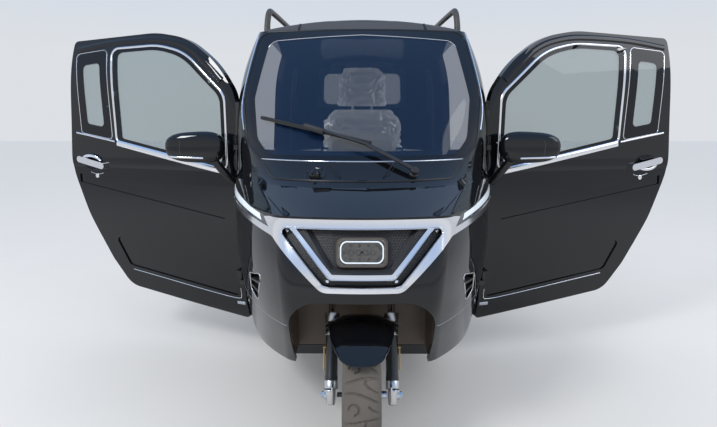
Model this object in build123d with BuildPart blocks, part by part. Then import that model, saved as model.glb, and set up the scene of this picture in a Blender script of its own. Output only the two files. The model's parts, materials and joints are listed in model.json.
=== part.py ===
from build123d import *
from math import cos, radians, sin, tan
import os

# Three wheeled car: an enclosed electric trike with one steered wheel in front and two doors.
# X is across (+X is the vehicle's left), the nose points to -Y, Z is up from the floor, in millimetres.

os.makedirs("parts", exist_ok=True)

# Driving dimensions
HINGE_X = 570
HINGE_Y = -221
GAP = 5
WALL = 34
GLASS = 7
TRIM_PROUD = 6
SPLIT_Z = 1103
ROOF_SEAM_Z = 1516
BULGE = 0.07
TAIL_RADIUS = 110
CROWN_Z = 1665
CROWN_Y = 430
ROOF_RADIUS = 2200
DOOR_OPEN_RIGHT = 70
DOOR_OPEN_LEFT = 75
HINGE_ROWS = [390, 1020]
KNUCKLE = 20
PIN_R = 5

# Running gear
FRONT_AXLE_Y = -964
FRONT_RADIUS = 236
FRONT_WIDTH = 120
RAKE = 27
FORK_OFFSET = 35
LEG_X = 104
REAR_AXLE_Y = 880
REAR_RADIUS = 247
REAR_WIDTH = 135
REAR_TRACK = 920
RIM_RADIUS = 152
ARCH_RADIUS = 285
SHAFT_R = 12
AXLE_HALF = 375
FRONT_SHAFT_R = 8
RUNNING_FIT = 0.05

# Number plate holes in the tail
PLATE_HOLES = 140
PLATE_HOLE_R = 3.5
PLATE_Z = 620

# Interior
FLOOR_Z = 205
FLOOR_HALF = 410
BENCH_HALF = 345

# Plan sections of the body, each at its height:
# z, nose y, corner x, corner y, side x, tail y, corner radius
LOWER_ROWS = [
    (150, -690, 250, -665, 475, 1120, 60),
    (300, -845, 262, -815, 528, 1160, 70),
    (450, -985, 245, -955, 545, 1175, 80),
    (600, -1068, 240, -1035, 562, 1180, 80),
    (730, -1040, 255, -1005, 570, 1178, 80),
    (848, -992, 272, -955, 571, 1170, 80),
]
BONNET_TOP = (916, -800, 395, -650, 569, 1160, 70)
UPPER_ROWS = [
    BONNET_TOP,
    (1080, -612, 463, -425, 565, 1145, 64),
    (1236, -478, 496, -320, 556, 1125, 60),
    (1400, -325, 488, -205, 541, 1095, 58),
    (1550, -155, 462, -90, 502, 1060, 56),
    (1700, 30, 400, 75, 440, 1010, 55),
]

# Side outlines with the doors shut: y, z, corner radius
DOOR_OUTLINE = [
    (HINGE_Y + GAP, 187, 20), (490, 292, 110), (585, 430, 200), (695, 665, 500), (783, 915, 300),
    (765, 1550, 22), (250, 1566, 500), (60, 1530, 400), (-110, 1410, 500), (HINGE_Y + GAP, 1258, 200),
]
FRONT_GLASS_OUTLINE = [
    (-165, 928, 26), (472, 1053, 22), (503, 1494, 34), (230, 1498, 450), (68, 1456, 320), (-150, 1262, 90),
]
QUARTER_GLASS_OUTLINE = [(508, 1061, 16), (703, 1094, 16), (733, 1478, 22), (545, 1493, 22)]
LOWER_RECESS_OUTLINE = [(-188, 305, 30), (478, 404, 30), (548, 560, 20), (-190, 440, 20)]
BAND_RECESS_OUTLINE = [(-150, 692, 16), (740, 836, 0), (740, 880, 0), (-150, 728, 16)]

# Front outlines (x, z), right half from the centre line
SCREEN_OUTLINE = [(330, 940), (470, 1060), (503, 1240), (462, 1546)]
OPENING_OUTLINE = [(415, 1035), (455, 1090), (476, 1240), (436, 1528)]
COWL_TOP_Z = 1000
ARCH_HALF = [(0, 592), (234, 592, 110), (243, 400), (243, 100)]
GRILLE_HALF = [(0, 646), (116, 646, 28), (268, 812, 12), (0, 812)]
TAIL_GLASS_HALF = [(305, 1240), (290, 1498)]


def save(part, name):
    part.label = name
    export_step(part, f"parts/{name}.step")


def both_sides(half):
    return half + [(-x, *rest) for x, *rest in reversed(half) if x]


def mirrored(outline):
    return [(-x, *rest) for x, *rest in outline]


def outline_face(points, radius=0, grow=0):
    """A closed outline. A corner is rounded by its own third value, or else by the common radius."""
    with BuildSketch() as outline:
        with BuildLine():
            Polyline(*[point[:2] for point in points], close=True)
        make_face()
        for point in points:
            corner_radius = point[2] if len(point) > 2 else radius
            if corner_radius:
                fillet(outline.vertices().sort_by_distance(Vector(*point[:2]))[0], corner_radius)
        if grow:
            offset(amount=grow)
    return outline.sketch


# Body form
def section(row, inset):
    """Plan outline of the body at one height, moved in by the inset."""
    z, nose, corner_x, corner_y, side, tail, corner_radius = row
    nose += inset
    corner_x -= 0.55 * inset
    corner_y += 0.85 * inset
    side -= inset
    tail -= inset
    flank_y = max(HINGE_Y, corner_y + 130)
    dx = side - corner_x
    dy = flank_y - corner_y
    mid_x = (corner_x + side) / 2 + BULGE * dy
    mid_y = (corner_y + flank_y) / 2 - BULGE * dx
    with BuildSketch(Plane.XY.offset(z)) as outline:
        with BuildLine():
            ThreePointArc((-corner_x, corner_y), (0, nose), (corner_x, corner_y))
            ThreePointArc((corner_x, corner_y), (mid_x, mid_y), (side, flank_y))
            Polyline((side, flank_y), (side, tail), (-side, tail), (-side, flank_y))
            ThreePointArc((-side, flank_y), (-mid_x, mid_y), (-corner_x, corner_y))
        make_face()
        fillet(outline.vertices().filter_by(lambda v: v.Y > tail - 1), TAIL_RADIUS - inset)
        fillet(outline.vertices().filter_by(lambda v: abs(v.Y - corner_y) < 0.01), corner_radius - inset)
    return outline.sketch.faces()[0]


def body_form(inset):
    """The closed outer form of the body, moved in by the inset."""
    with BuildPart() as form:
        loft(sections=[section(row, inset) for row in LOWER_ROWS])
        loft(sections=[section(row, inset) for row in (LOWER_ROWS[-1], BONNET_TOP)], ruled=True)
        loft(sections=[section(row, inset) for row in UPPER_ROWS])
        with Locations((0, CROWN_Y, CROWN_Z - ROOF_RADIUS)):
            Sphere(ROOF_RADIUS - inset, mode=Mode.INTERSECT)
    return form.part


outer_form = body_form(0)
inner_form = body_form(WALL)
glass_form = body_form(GLASS)
proud_form = body_form(-TRIM_PROUD)
with BuildPart() as wall:
    add(outer_form)
    add(inner_form, mode=Mode.SUBTRACT)
with BuildPart() as skin:
    add(outer_form)
    add(glass_form, mode=Mode.SUBTRACT)


def side_prism(outlines, radius=0, grow=0, x_from=-700, x_to=700):
    """Side outlines (y, z) pulled across the body."""
    faces = [outline_face(points, radius, grow) for points in outlines]
    with BuildPart() as prism:
        for face in faces:
            with BuildSketch(Plane.YZ.offset(x_from)):
                add(face)
            extrude(amount=x_to - x_from)
    return prism.part


def front_prism(outlines, radius=0, y_from=-1300, y_to=-150):
    """Front outlines (x, z) pulled along the body."""
    faces = [outline_face(points, radius) for points in outlines]
    with BuildPart() as prism:
        for face in faces:
            with BuildSketch(Plane.XZ.offset(-y_from)):
                add(face)
            extrude(amount=y_from - y_to)
    return prism.part


door_opening = side_prism([DOOR_OUTLINE], grow=GAP)

# Windscreen and the cowl panel under it, both let into the wall
screen_prism = front_prism([both_sides(SCREEN_OUTLINE)], radius=60, y_to=150)
screen_opening = front_prism([both_sides(OPENING_OUTLINE)], radius=50, y_to=-60)
with BuildPart() as windshield:
    add(skin.part)
    add(screen_prism, mode=Mode.INTERSECT)
    split(bisect_by=Plane.XY.offset(COWL_TOP_Z), keep=Keep.TOP)
save(windshield.part, "windshield")

with BuildPart() as cowl_panel:
    add(skin.part)
    add(screen_prism, mode=Mode.INTERSECT)
    split(bisect_by=Plane.XY.offset(COWL_TOP_Z), keep=Keep.BOTTOM)
save(cowl_panel.part, "cowl_panel")

with BuildPart() as body_shell:
    add(wall.part)
    add(windshield.part, mode=Mode.SUBTRACT)
    add(cowl_panel.part, mode=Mode.SUBTRACT)
    add(screen_opening, mode=Mode.SUBTRACT)

# Front body: nose, bonnet and flanks up to the doors
NOSE_OUTLINE = [
    (-1300, 275), (-780, 275), (HINGE_Y, 200), (HINGE_Y, SPLIT_Z), (-1300, SPLIT_Z),
]
LAMP_LEFT = [(306, 806), (330, 838), (556, 884), (556, 842)]
VENT_LEFT = [(341, 639), (407, 606), (408, 535), (374, 508)]
VENT_CELLS = 3
VENT_EDGE = 0.07
nose_prism = side_prism([NOSE_OUTLINE])
arch_prism = front_prism([both_sides(ARCH_HALF)])
grille_prism = front_prism([both_sides(GRILLE_HALF)], y_to=-850)
lamp_prisms = front_prism([LAMP_LEFT, mirrored(LAMP_LEFT)], radius=4, y_to=-250)
vent_prisms = front_prism([VENT_LEFT, mirrored(VENT_LEFT)], radius=9, y_to=-250)
with BuildPart() as front_body:
    add(body_shell.part)
    add(nose_prism, mode=Mode.INTERSECT)
    for cut in (arch_prism, grille_prism, lamp_prisms, vent_prisms):
        add(cut, mode=Mode.SUBTRACT)
    for side in (-1, 1):
        for z in HINGE_ROWS:
            with Locations((side * HINGE_X, HINGE_Y, z + KNUCKLE + 1 - GAP)):
                Cylinder(KNUCKLE / 2 + GAP, 2 * KNUCKLE - 2 + 2 * GAP,
                         align=(Align.CENTER, Align.CENTER, Align.MIN), mode=Mode.SUBTRACT)
save(front_body.part, "front_body")

# Lamps and vents let into the flanks
with BuildPart() as side_lamps:
    add(wall.part)
    add(lamp_prisms, mode=Mode.INTERSECT)
save(side_lamps.part, "side_lamps")


def vent_point(across, down):
    """A point of the vent outline's grid, both shares from 0 to 1."""
    (ax, az), (bx, bz), (cx, cz), (dx, dz) = VENT_LEFT
    top = (ax + across * (bx - ax), az + across * (bz - az))
    low = (dx + across * (cx - dx), dz + across * (cz - dz))
    return (top[0] + down * (low[0] - top[0]), top[1] + down * (low[1] - top[1]))


vent_cells = []
for cell in range(VENT_CELLS):
    high = (cell + VENT_EDGE) / VENT_CELLS + VENT_EDGE / 3
    low = (cell + 1 - VENT_EDGE) / VENT_CELLS - VENT_EDGE / 3
    vent_cells.append([vent_point(a, d) for a, d in ((0.1, high), (0.9, high), (0.9, low), (0.1, low))])
cell_prisms = front_prism(vent_cells + [mirrored(cell) for cell in vent_cells], y_to=-250)
with BuildPart() as side_vents:
    add(wall.part)
    add(vent_prisms, mode=Mode.INTERSECT)
    add(cell_prisms, mode=Mode.SUBTRACT)
save(side_vents.part, "side_vents")

# Grille: a recessed panel, a V-shaped bezel whose inner sides slope down to it, and the lamp through it
GRILLE_TILT = 17
GRILLE_DEPTH = 22
LAMP_W = 164
LAMP_H = 97
BEZEL_HALF = [(0, 684), (92, 684, 10), (208, 812), (0, 812)]
FUNNEL_MOUTH = [(0, -79), (102, -79), (336, 150), (0, 150)]
FUNNEL_FLOOR = [(0, 5), (68, 5), (216, 150), (0, 150)]
grille_plane = Plane(
    origin=(0, -1034, 748), x_dir=(1, 0, 0), z_dir=(0, -cos(radians(GRILLE_TILT)), sin(radians(GRILLE_TILT))))
recess_form = body_form(GRILLE_DEPTH)
bezel_prism = front_prism([both_sides(BEZEL_HALF)], y_to=-850)
funnel_faces = [outline_face(both_sides(half)) for half in (FUNNEL_MOUTH, FUNNEL_FLOOR)]
with BuildPart() as funnel:
    for face, height in zip(funnel_faces, (10, -60)):
        with BuildSketch(grille_plane.offset(height)):
            add(face)
    loft(ruled=True)
with BuildPart() as centre_headlamp:
    with BuildSketch(grille_plane.offset(-2)):
        RectangleRounded(LAMP_W, LAMP_H, 22)
    extrude(amount=-60)
    add(inner_form, mode=Mode.SUBTRACT)
save(centre_headlamp.part, "centre_headlamp")

with BuildPart() as bezel:
    add(glass_form)
    add(recess_form, mode=Mode.SUBTRACT)
    add(bezel_prism, mode=Mode.INTERSECT)
    add(funnel.part, mode=Mode.SUBTRACT)
with BuildPart() as grille_panel:
    add(recess_form)
    add(inner_form, mode=Mode.SUBTRACT)
    add(grille_prism, mode=Mode.INTERSECT)
    add(bezel.part)
    add(centre_headlamp.part, mode=Mode.SUBTRACT)
save(grille_panel.part, "grille_panel")

# Bright trim: top bar, outer frame and lamp strips proud of the nose, and the inner V standing on the panel
TRIM_HALF = [
    (0, 628), (124, 628, 45), (290, 782, 30), (556, 824), (556, 842), (306, 806), (326, 836), (300, 842), (0, 842),
]
V_HALF = [(0, 667), (100, 667, 24), (229, 812), (208, 812), (92, 684, 10), (0, 684)]
trim_prism = front_prism([both_sides(TRIM_HALF)], y_to=-250)
v_prism = front_prism([both_sides(V_HALF)], y_to=-850)
with BuildPart() as inner_v:
    add(proud_form)
    add(recess_form, mode=Mode.SUBTRACT)
    add(v_prism, mode=Mode.INTERSECT)
with BuildPart() as chrome_trim:
    add(proud_form)
    add(outer_form, mode=Mode.SUBTRACT)
    add(trim_prism, mode=Mode.INTERSECT)
    add(grille_prism, mode=Mode.SUBTRACT)
    add(inner_v.part)
save(chrome_trim.part, "chrome_trim")

# Roof with its windscreen pillars
ROOF_OUTLINE = [
    (-1300, SPLIT_Z), (0, SPLIT_Z), (400, ROOF_SEAM_Z), (1300, ROOF_SEAM_Z), (1300, 1800), (-1300, 1800),
]
roof_prism = side_prism([ROOF_OUTLINE])
with BuildPart() as roof_panel:
    add(body_shell.part)
    add(roof_prism, mode=Mode.INTERSECT)
    add(door_opening, mode=Mode.SUBTRACT)
save(roof_panel.part, "roof_panel")

# Rear body
REAR_OUTLINE = [(515, 300), (1300, 300), (1300, ROOF_SEAM_Z), (450, ROOF_SEAM_Z), (450, 600)]
TAIL_LAMP_LEFT = [(400, 640), (520, 640), (520, 880), (440, 880)]
rear_prism = side_prism([REAR_OUTLINE])
tail_glass_prism = front_prism([both_sides(TAIL_GLASS_HALF)], radius=30, y_from=1000, y_to=1300)
tail_lamp_prisms = front_prism([TAIL_LAMP_LEFT, mirrored(TAIL_LAMP_LEFT)], radius=12, y_from=1050, y_to=1300)
with BuildPart() as rear_body:
    add(wall.part)
    add(rear_prism, mode=Mode.INTERSECT)
    add(door_opening, mode=Mode.SUBTRACT)
    with Locations((0, REAR_AXLE_Y, REAR_RADIUS)):
        Cylinder(ARCH_RADIUS, 1400, rotation=(0, 90, 0), mode=Mode.SUBTRACT)
    with Locations((0, 1120, 300)):
        Box(1400, 400, 180, align=(Align.CENTER, Align.CENTER, Align.MIN), mode=Mode.SUBTRACT)
    add(tail_glass_prism, mode=Mode.SUBTRACT)
    add(tail_lamp_prisms, mode=Mode.SUBTRACT)
    with Locations((-PLATE_HOLES / 2, 1200, PLATE_Z), (PLATE_HOLES / 2, 1200, PLATE_Z)):
        Cylinder(PLATE_HOLE_R, 200, rotation=(90, 0, 0), mode=Mode.SUBTRACT)
save(rear_body.part, "rear_body")

with BuildPart() as rear_window:
    add(skin.part)
    add(tail_glass_prism, mode=Mode.INTERSECT)
save(rear_window.part, "rear_window")

with BuildPart() as tail_lamps:
    add(wall.part)
    add(tail_lamp_prisms, mode=Mode.INTERSECT)
save(tail_lamps.part, "tail_lamps")

BUMPER_Z = 300
BUMPER_TOP = 479
with BuildPart() as rear_bumper:
    with BuildSketch(Plane.XY.offset(BUMPER_Z)) as plan:
        with BuildLine():
            Polyline((-530, 1000), (-500, 1165), (-300, 1198), (300, 1198), (500, 1165), (530, 1000),
                     (480, 1000), (450, 1130), (-450, 1130), (-480, 1000), close=True)
        make_face()
    extrude(amount=BUMPER_TOP - BUMPER_Z)
    with Locations((0, REAR_AXLE_Y, REAR_RADIUS)):
        Cylinder(ARCH_RADIUS, 1400, rotation=(0, 90, 0), mode=Mode.SUBTRACT)
save(rear_bumper.part, "rear_bumper")


# Door hinges: pins on the body, knuckles on the doors
with BuildPart() as door_hinges:
    for side in (-1, 1):
        for z in HINGE_ROWS:
            with Locations((side * HINGE_X, HINGE_Y, z)):
                Cylinder(10, KNUCKLE, align=(Align.CENTER, Align.CENTER, Align.MIN))
                Cylinder(PIN_R, 3 * KNUCKLE, align=(Align.CENTER, Align.CENTER, Align.MIN))
            with Locations((side * (HINGE_X - 15), HINGE_Y - 14, z)):
                Box(38, 16, KNUCKLE, align=(Align.CENTER, Align.CENTER, Align.MIN))
    add(front_body.part, mode=Mode.SUBTRACT)
save(door_hinges.part, "door_hinges")


def rod(start, end, radius):
    """A round bar between two points."""
    run = Vector(*end) - Vector(*start)
    with Locations(Plane(origin=start, z_dir=run)):
        Cylinder(radius, run.length, align=(Align.CENTER, Align.CENTER, Align.MIN))


# Doors, built shut and swung to their open place
HANDLE_TILT = 12
MIRROR_X = HINGE_X + 102
MIRROR_Y = HINGE_Y + 146
MIRROR_Z = 1034
MIRROR_TURN = 20


def door_parts(side, open_angle):
    """Shell, glass, handle and mirror of the door on side +1 (left) or -1 (right)."""
    name = "left" if side > 0 else "right"
    swing = Axis((side * HINGE_X, HINGE_Y, 0), (0, 0, 1))
    x_from = min(0, side * 700)
    x_to = max(0, side * 700)
    door_prism = side_prism([DOOR_OUTLINE], x_from=x_from, x_to=x_to)
    panes = side_prism([FRONT_GLASS_OUTLINE, QUARTER_GLASS_OUTLINE], x_from=x_from, x_to=x_to)
    recesses = side_prism([LOWER_RECESS_OUTLINE, BAND_RECESS_OUTLINE], x_from=x_from, x_to=x_to)
    with BuildPart() as pressing:
        add(skin.part)
        add(recesses, mode=Mode.INTERSECT)
    with BuildPart() as shell:
        add(wall.part)
        add(door_prism, mode=Mode.INTERSECT)
        add(panes, mode=Mode.SUBTRACT)
        add(pressing.part, mode=Mode.SUBTRACT)
        for z in HINGE_ROWS:
            with Locations((side * HINGE_X, HINGE_Y, z - GAP)):
                Cylinder(16, 3 * KNUCKLE + 2 * GAP, align=(Align.CENTER, Align.CENTER, Align.MIN), mode=Mode.SUBTRACT)
            with Locations((side * HINGE_X, HINGE_Y, z + KNUCKLE + 1)):
                Cylinder(10, 2 * KNUCKLE - 2, align=(Align.CENTER, Align.CENTER, Align.MIN))
            with Locations((side * (HINGE_X - 23), HINGE_Y + 19, z + KNUCKLE + 1)):
                Box(46, 26, 2 * KNUCKLE - 2, align=(Align.CENTER, Align.CENTER, Align.MIN))
            with Locations((side * HINGE_X, HINGE_Y, z)):
                Cylinder(PIN_R + RUNNING_FIT, 4 * KNUCKLE, align=(Align.CENTER, Align.CENTER, Align.MIN), mode=Mode.SUBTRACT)
    with BuildPart() as glass:
        add(skin.part)
        add(panes, mode=Mode.INTERSECT)
    with BuildPart() as handle:
        with Locations(Location((side * (HINGE_X + 8), HINGE_Y + 861, 940), (HANDLE_TILT, 0, 0))):
            Box(30, 178, 32)
            fillet(handle.edges().filter_by(Axis.X), 15)
            Box(15, 104, 60, mode=Mode.SUBTRACT)
        add(outer_form, mode=Mode.SUBTRACT)
    with BuildPart() as mirror:
        with Locations(Location((side * MIRROR_X, MIRROR_Y, MIRROR_Z), (0, 0, -side * MIRROR_TURN))):
            Box(88, 268, 138)
        fillet(mirror.edges().filter_by(Axis.Z), 40)
        fillet(mirror.edges(), 26)
        rod((side * (HINGE_X - 5), HINGE_Y + 22, 872), (side * (MIRROR_X - 30), MIRROR_Y - 70, MIRROR_Z - 50), 15)
        add(outer_form, mode=Mode.SUBTRACT)
    for piece, title in ((shell, "shell"), (glass, "glass"), (handle, "handle"), (mirror, "mirror")):
        save(piece.part.rotate(swing, -side * open_angle), f"door_{name}_{title}")


door_parts(1, DOOR_OPEN_LEFT)
door_parts(-1, DOOR_OPEN_RIGHT)

# Chassis frame with floor, firewall and steering head
RAIL_X = 280
RAIL = 40
CROSS_Y = [-280, 120, 540]
SILL_X = 385
RAIL_FRONT_Y = -500
RAIL_OUTLINE = [
    (RAIL_FRONT_Y, 165), (575, 165), (703, 365), (1125, 365), (1125, 405), (680, 405), (552, 205), (RAIL_FRONT_Y, 205),
]
STRUT_OUTLINE = [(RAIL_FRONT_Y, 165), (RAIL_FRONT_Y + RAIL, 165), (-566, 855), (-606, 855)]
STEM_R = 15
STEM_FIT = 0.3


def axis_point(z):
    """The y of the steering axis at a height."""
    start = FRONT_AXLE_Y + FORK_OFFSET / cos(radians(RAKE))
    return start + (z - FRONT_RADIUS) * tan(radians(RAKE))


HEAD_LOW = 690
HEAD_TOP = 862
steer_plane = Plane(
    origin=(0, axis_point(HEAD_LOW), HEAD_LOW), x_dir=(1, 0, 0), z_dir=(0, sin(radians(RAKE)), cos(radians(RAKE)))
)
HEAD_LENGTH = (HEAD_TOP - HEAD_LOW) / cos(radians(RAKE))
with BuildPart() as chassis_frame:
    for x in (-RAIL_X, RAIL_X):
        with BuildSketch(Plane.YZ.offset(x - RAIL / 2)):
            with BuildLine():
                Polyline(*RAIL_OUTLINE, close=True)
            make_face()
        extrude(amount=RAIL)
    with Locations((0, RAIL_FRONT_Y + RAIL / 2, FLOOR_Z - RAIL / 2)):
        Box(2 * RAIL_X, RAIL, RAIL)
    for y in CROSS_Y:
        with Locations((0, y, FLOOR_Z - RAIL / 2)):
            Box(2 * SILL_X, RAIL, RAIL)
    for y in (720, 1105):
        with Locations((0, y, 385)):
            Box(2 * RAIL_X, RAIL, RAIL)
    for side in (-1, 1):
        with Locations((side * SILL_X, 130, FLOOR_Z - RAIL / 2)):
            Box(30, 860, RAIL)
        with BuildSketch(Plane.YZ.offset(side * 60 - 15)):
            with BuildLine():
                Polyline(*STRUT_OUTLINE, close=True)
            make_face()
        extrude(amount=30)
    with BuildSketch(Plane.YZ.offset(-45)):
        with BuildLine():
            Polyline((-745, 700), (-670, 660), (-570, 700), (-570, 850), (-650, 880), close=True)
        make_face()
    extrude(amount=90)
    with Locations(steer_plane):
        Cylinder(28, HEAD_LENGTH, align=(Align.CENTER, Align.CENTER, Align.MIN))
        Cylinder(STEM_R + STEM_FIT, 4 * HEAD_LENGTH, mode=Mode.SUBTRACT)
save(chassis_frame.part, "chassis_frame")

with BuildPart() as floor_pan:
    with BuildSketch(Plane.YZ.offset(-FLOOR_HALF)):
        with BuildLine():
            Polyline((548, 205), (548, 213), (-440, 213), (-636, 338), (-636, 328), (-442, 205), close=True)
        make_face()
    extrude(amount=2 * FLOOR_HALF)
    with BuildSketch(Plane.YZ.offset(-BENCH_HALF)):
        with BuildLine():
            Polyline((540, 205), (552, 205), (680, 405), (1125, 405), (1125, 413), (675, 413), (547, 213),
                     (540, 213), close=True)
        make_face()
    extrude(amount=2 * BENCH_HALF)
    add(inner_form, mode=Mode.INTERSECT)
    add(chassis_frame.part, mode=Mode.SUBTRACT)
save(floor_pan.part, "floor_pan")

FIREWALL_Y = -640
with BuildPart() as firewall:
    add(inner_form)
    with Locations((0, FIREWALL_Y, 328)):
        Box(1400, 8, 312, align=(Align.CENTER, Align.CENTER, Align.MIN), mode=Mode.INTERSECT)
save(firewall.part, "firewall")

# Liner of the front wheel arch
LINER_HALF = [(0, 638), (252, 638, 120), (256, 400), (256, 275)]
LINER_INNER = [(0, 632), (246, 632, 114), (250, 400), (250, 275)]
liner_outside = front_prism([both_sides(LINER_HALF)], y_to=-644)
liner_inside = front_prism([both_sides(LINER_INNER)], y_to=-650)
with BuildPart() as front_arch_liner:
    add(inner_form)
    add(liner_outside, mode=Mode.INTERSECT)
    add(liner_inside, mode=Mode.SUBTRACT)
    with Locations(steer_plane):
        Cylinder(40, 600, mode=Mode.SUBTRACT)
save(front_arch_liner.part, "front_arch_liner")

# Dashboard shelf
DASH_OUTLINE = [(-760, 905), (-760, 925), (-470, 925), (-450, 905), (-450, 740), (-470, 740), (-470, 905)]
dash_prism = side_prism([DASH_OUTLINE])
with BuildPart() as dashboard:
    add(dash_prism)
    with Locations((0, -650, 925)):
        Box(190, 40, 60, align=(Align.CENTER, Align.CENTER, Align.MIN))
    add(inner_form, mode=Mode.INTERSECT)
    with Locations(steer_plane):
        Cylinder(24, 900, mode=Mode.SUBTRACT)
save(dashboard.part, "dashboard")

# Seats and battery box
with BuildPart() as battery_box:
    with Locations((0, 210, FLOOR_Z + 8)):
        Box(360, 360, 240, align=(Align.CENTER, Align.CENTER, Align.MIN))
save(battery_box.part, "battery_box")

SEAT_Z = FLOOR_Z + 8 + 240
with BuildPart() as driver_seat:
    with Locations((0, 200, SEAT_Z)):
        Box(440, 460, 105, align=(Align.CENTER, Align.CENTER, Align.MIN))
    fillet(driver_seat.edges(), 30)
    with BuildSketch(Plane.YZ.offset(-205)) as back:
        with BuildLine():
            Polyline((360, 500), (430, 500), (530, 1190), (455, 1190), close=True)
        make_face()
        fillet(back.vertices(), 20)
    extrude(amount=410)
    with Locations((-55, 492, 1180), (55, 492, 1180)):
        Cylinder(6, 80, align=(Align.CENTER, Align.CENTER, Align.MIN))
    with Locations((0, 492, 1240)):
        Box(240, 80, 200, align=(Align.CENTER, Align.CENTER, Align.MIN))
save(driver_seat.part, "driver_seat")

with BuildPart() as rear_bench:
    with BuildSketch(Plane.YZ.offset(-330)):
        with BuildLine():
            Polyline((680, 413), (680, 520), (980, 510), (1010, 900), (1060, 900), (1060, 413), close=True)
        make_face()
    extrude(amount=660)
save(rear_bench.part, "rear_bench")

# Roof rails
RAIL_TOP_X = 415
with BuildPart() as roof_rails:
    for side in (-1, 1):
        with BuildSketch(Plane.YZ.offset(side * RAIL_TOP_X - 13)):
            with BuildLine():
                Polyline((20, 1560), (70, 1655), (430, 1692), (790, 1655), (840, 1560), (790, 1560),
                         (755, 1630), (430, 1666), (105, 1630), (70, 1560), close=True)
            make_face()
        extrude(amount=26)
    add(outer_form, mode=Mode.SUBTRACT)
save(roof_rails.part, "roof_rails")

def screen_point(x, z, proud):
    """A point off the windscreen surface at a width and height."""
    for low, high in zip(UPPER_ROWS, UPPER_ROWS[1:]):
        if z <= high[0]:
            share = (z - low[0]) / (high[0] - low[0])
            nose, corner_x, corner_y = (a + share * (b - a) for a, b in zip(low[1:4], high[1:4]))
            return (x, nose + (corner_y - nose) * (x / corner_x) ** 2 - proud, z)


# Wiper on the cowl, its blade following the glass
WIPER_PIVOT = screen_point(186, 955, 0)
WIPER_ELBOW = screen_point(20, 1040, 34)
WIPER_TIP = screen_point(-190, 1108, 26)
BLADE_POINTS = [screen_point(x, 1158 - 102 * (x + 420) / 450, 18) for x in (-400, -250, -110, 30)]
with BuildPart() as wiper:
    rod(WIPER_PIVOT, screen_point(186, 958, 40), 12)
    rod(screen_point(186, 958, 34), WIPER_ELBOW, 6)
    rod(WIPER_ELBOW, WIPER_TIP, 5)
    for start, end in zip(BLADE_POINTS, BLADE_POINTS[1:]):
        rod(start, end, 6)
    add(outer_form, mode=Mode.SUBTRACT)
save(wiper.part, "wiper")

# Rear axle and springs
with BuildPart() as rear_axle:
    with Locations(Plane(origin=(0, REAR_AXLE_Y, REAR_RADIUS), z_dir=(1, 0, 0))):
        Cylinder(28, 2 * AXLE_HALF)
        Cylinder(95, 150)
        Cylinder(SHAFT_R, REAR_TRACK + 60)
        with Locations((0, 0, 75)):
            Cylinder(75, 130, align=(Align.CENTER, Align.CENTER, Align.MIN))
        with Locations((0, 0, AXLE_HALF + 8), (0, 0, -AXLE_HALF - 8)):
            Cylinder(88, 20)
save(rear_axle.part, "rear_axle")

with BuildPart() as rear_springs:
    for side in (-1, 1):
        with BuildSketch(Plane.YZ.offset(side * RAIL_X - 20)):
            with BuildLine():
                ThreePointArc((710, 325), (880, 205), (1050, 325))
                Polyline((1050, 325), (1050, 365), (1035, 365), (1035, 325))
                ThreePointArc((1035, 325), (880, 219), (725, 325))
                Polyline((725, 325), (725, 365), (710, 365), (710, 325))
            make_face()
        extrude(amount=40)
save(rear_springs.part, "rear_springs")

# Rear arch liners
with BuildPart() as rear_arch_liners:
    with BuildSketch(Plane.YZ.offset(-540)):
        with Locations((REAR_AXLE_Y, REAR_RADIUS)):
            Circle(ARCH_RADIUS)
            Circle(ARCH_RADIUS - 6, mode=Mode.SUBTRACT)
        with Locations((REAR_AXLE_Y, 0)):
            Rectangle(800, 600, mode=Mode.SUBTRACT)
    extrude(amount=1080)
    with Locations((0, REAR_AXLE_Y, 0)):
        Box(2 * 350, 900, 1600, mode=Mode.SUBTRACT)
    add(inner_form, mode=Mode.INTERSECT)
save(rear_arch_liners.part, "rear_arch_liners")

# Steering: fork, axle, fender and handlebar
leg_plane = Plane(
    origin=(0, FRONT_AXLE_Y, FRONT_RADIUS), x_dir=(1, 0, 0), z_dir=(0, sin(radians(RAKE)), cos(radians(RAKE)))
)
CROWN_LOW = 325
CROWN_HIGH = 358
SLIDER_TOP = 222
SLEEVE_TOP = 271
with BuildPart() as fork:
    with Locations(leg_plane):
        with Locations((LEG_X, 0, 0), (-LEG_X, 0, 0)):
            Cylinder(13, CROWN_HIGH, align=(Align.CENTER, Align.CENTER, Align.MIN))
            Cylinder(22, SLIDER_TOP, align=(Align.CENTER, Align.CENTER, Align.MIN))
        with Locations((LEG_X, 0, SLIDER_TOP), (-LEG_X, 0, SLIDER_TOP)):
            Cone(19, 26, SLEEVE_TOP - SLIDER_TOP, align=(Align.CENTER, Align.CENTER, Align.MIN))
        with Locations((0, FORK_OFFSET / 2, CROWN_LOW)):
            Box(2 * LEG_X + 46, 76, CROWN_HIGH - CROWN_LOW, align=(Align.CENTER, Align.CENTER, Align.MIN))
    with Locations((LEG_X, FRONT_AXLE_Y, FRONT_RADIUS), (-LEG_X, FRONT_AXLE_Y, FRONT_RADIUS)):
        Box(40, 50, 60)
save(fork.part, "fork")

with BuildPart() as front_axle:
    with Locations(Plane.YZ):
        with Locations((FRONT_AXLE_Y, FRONT_RADIUS)):
            Cylinder(FRONT_SHAFT_R, 2 * LEG_X + 60)
    add(fork.part, mode=Mode.SUBTRACT)
save(front_axle.part, "front_axle")

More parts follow.
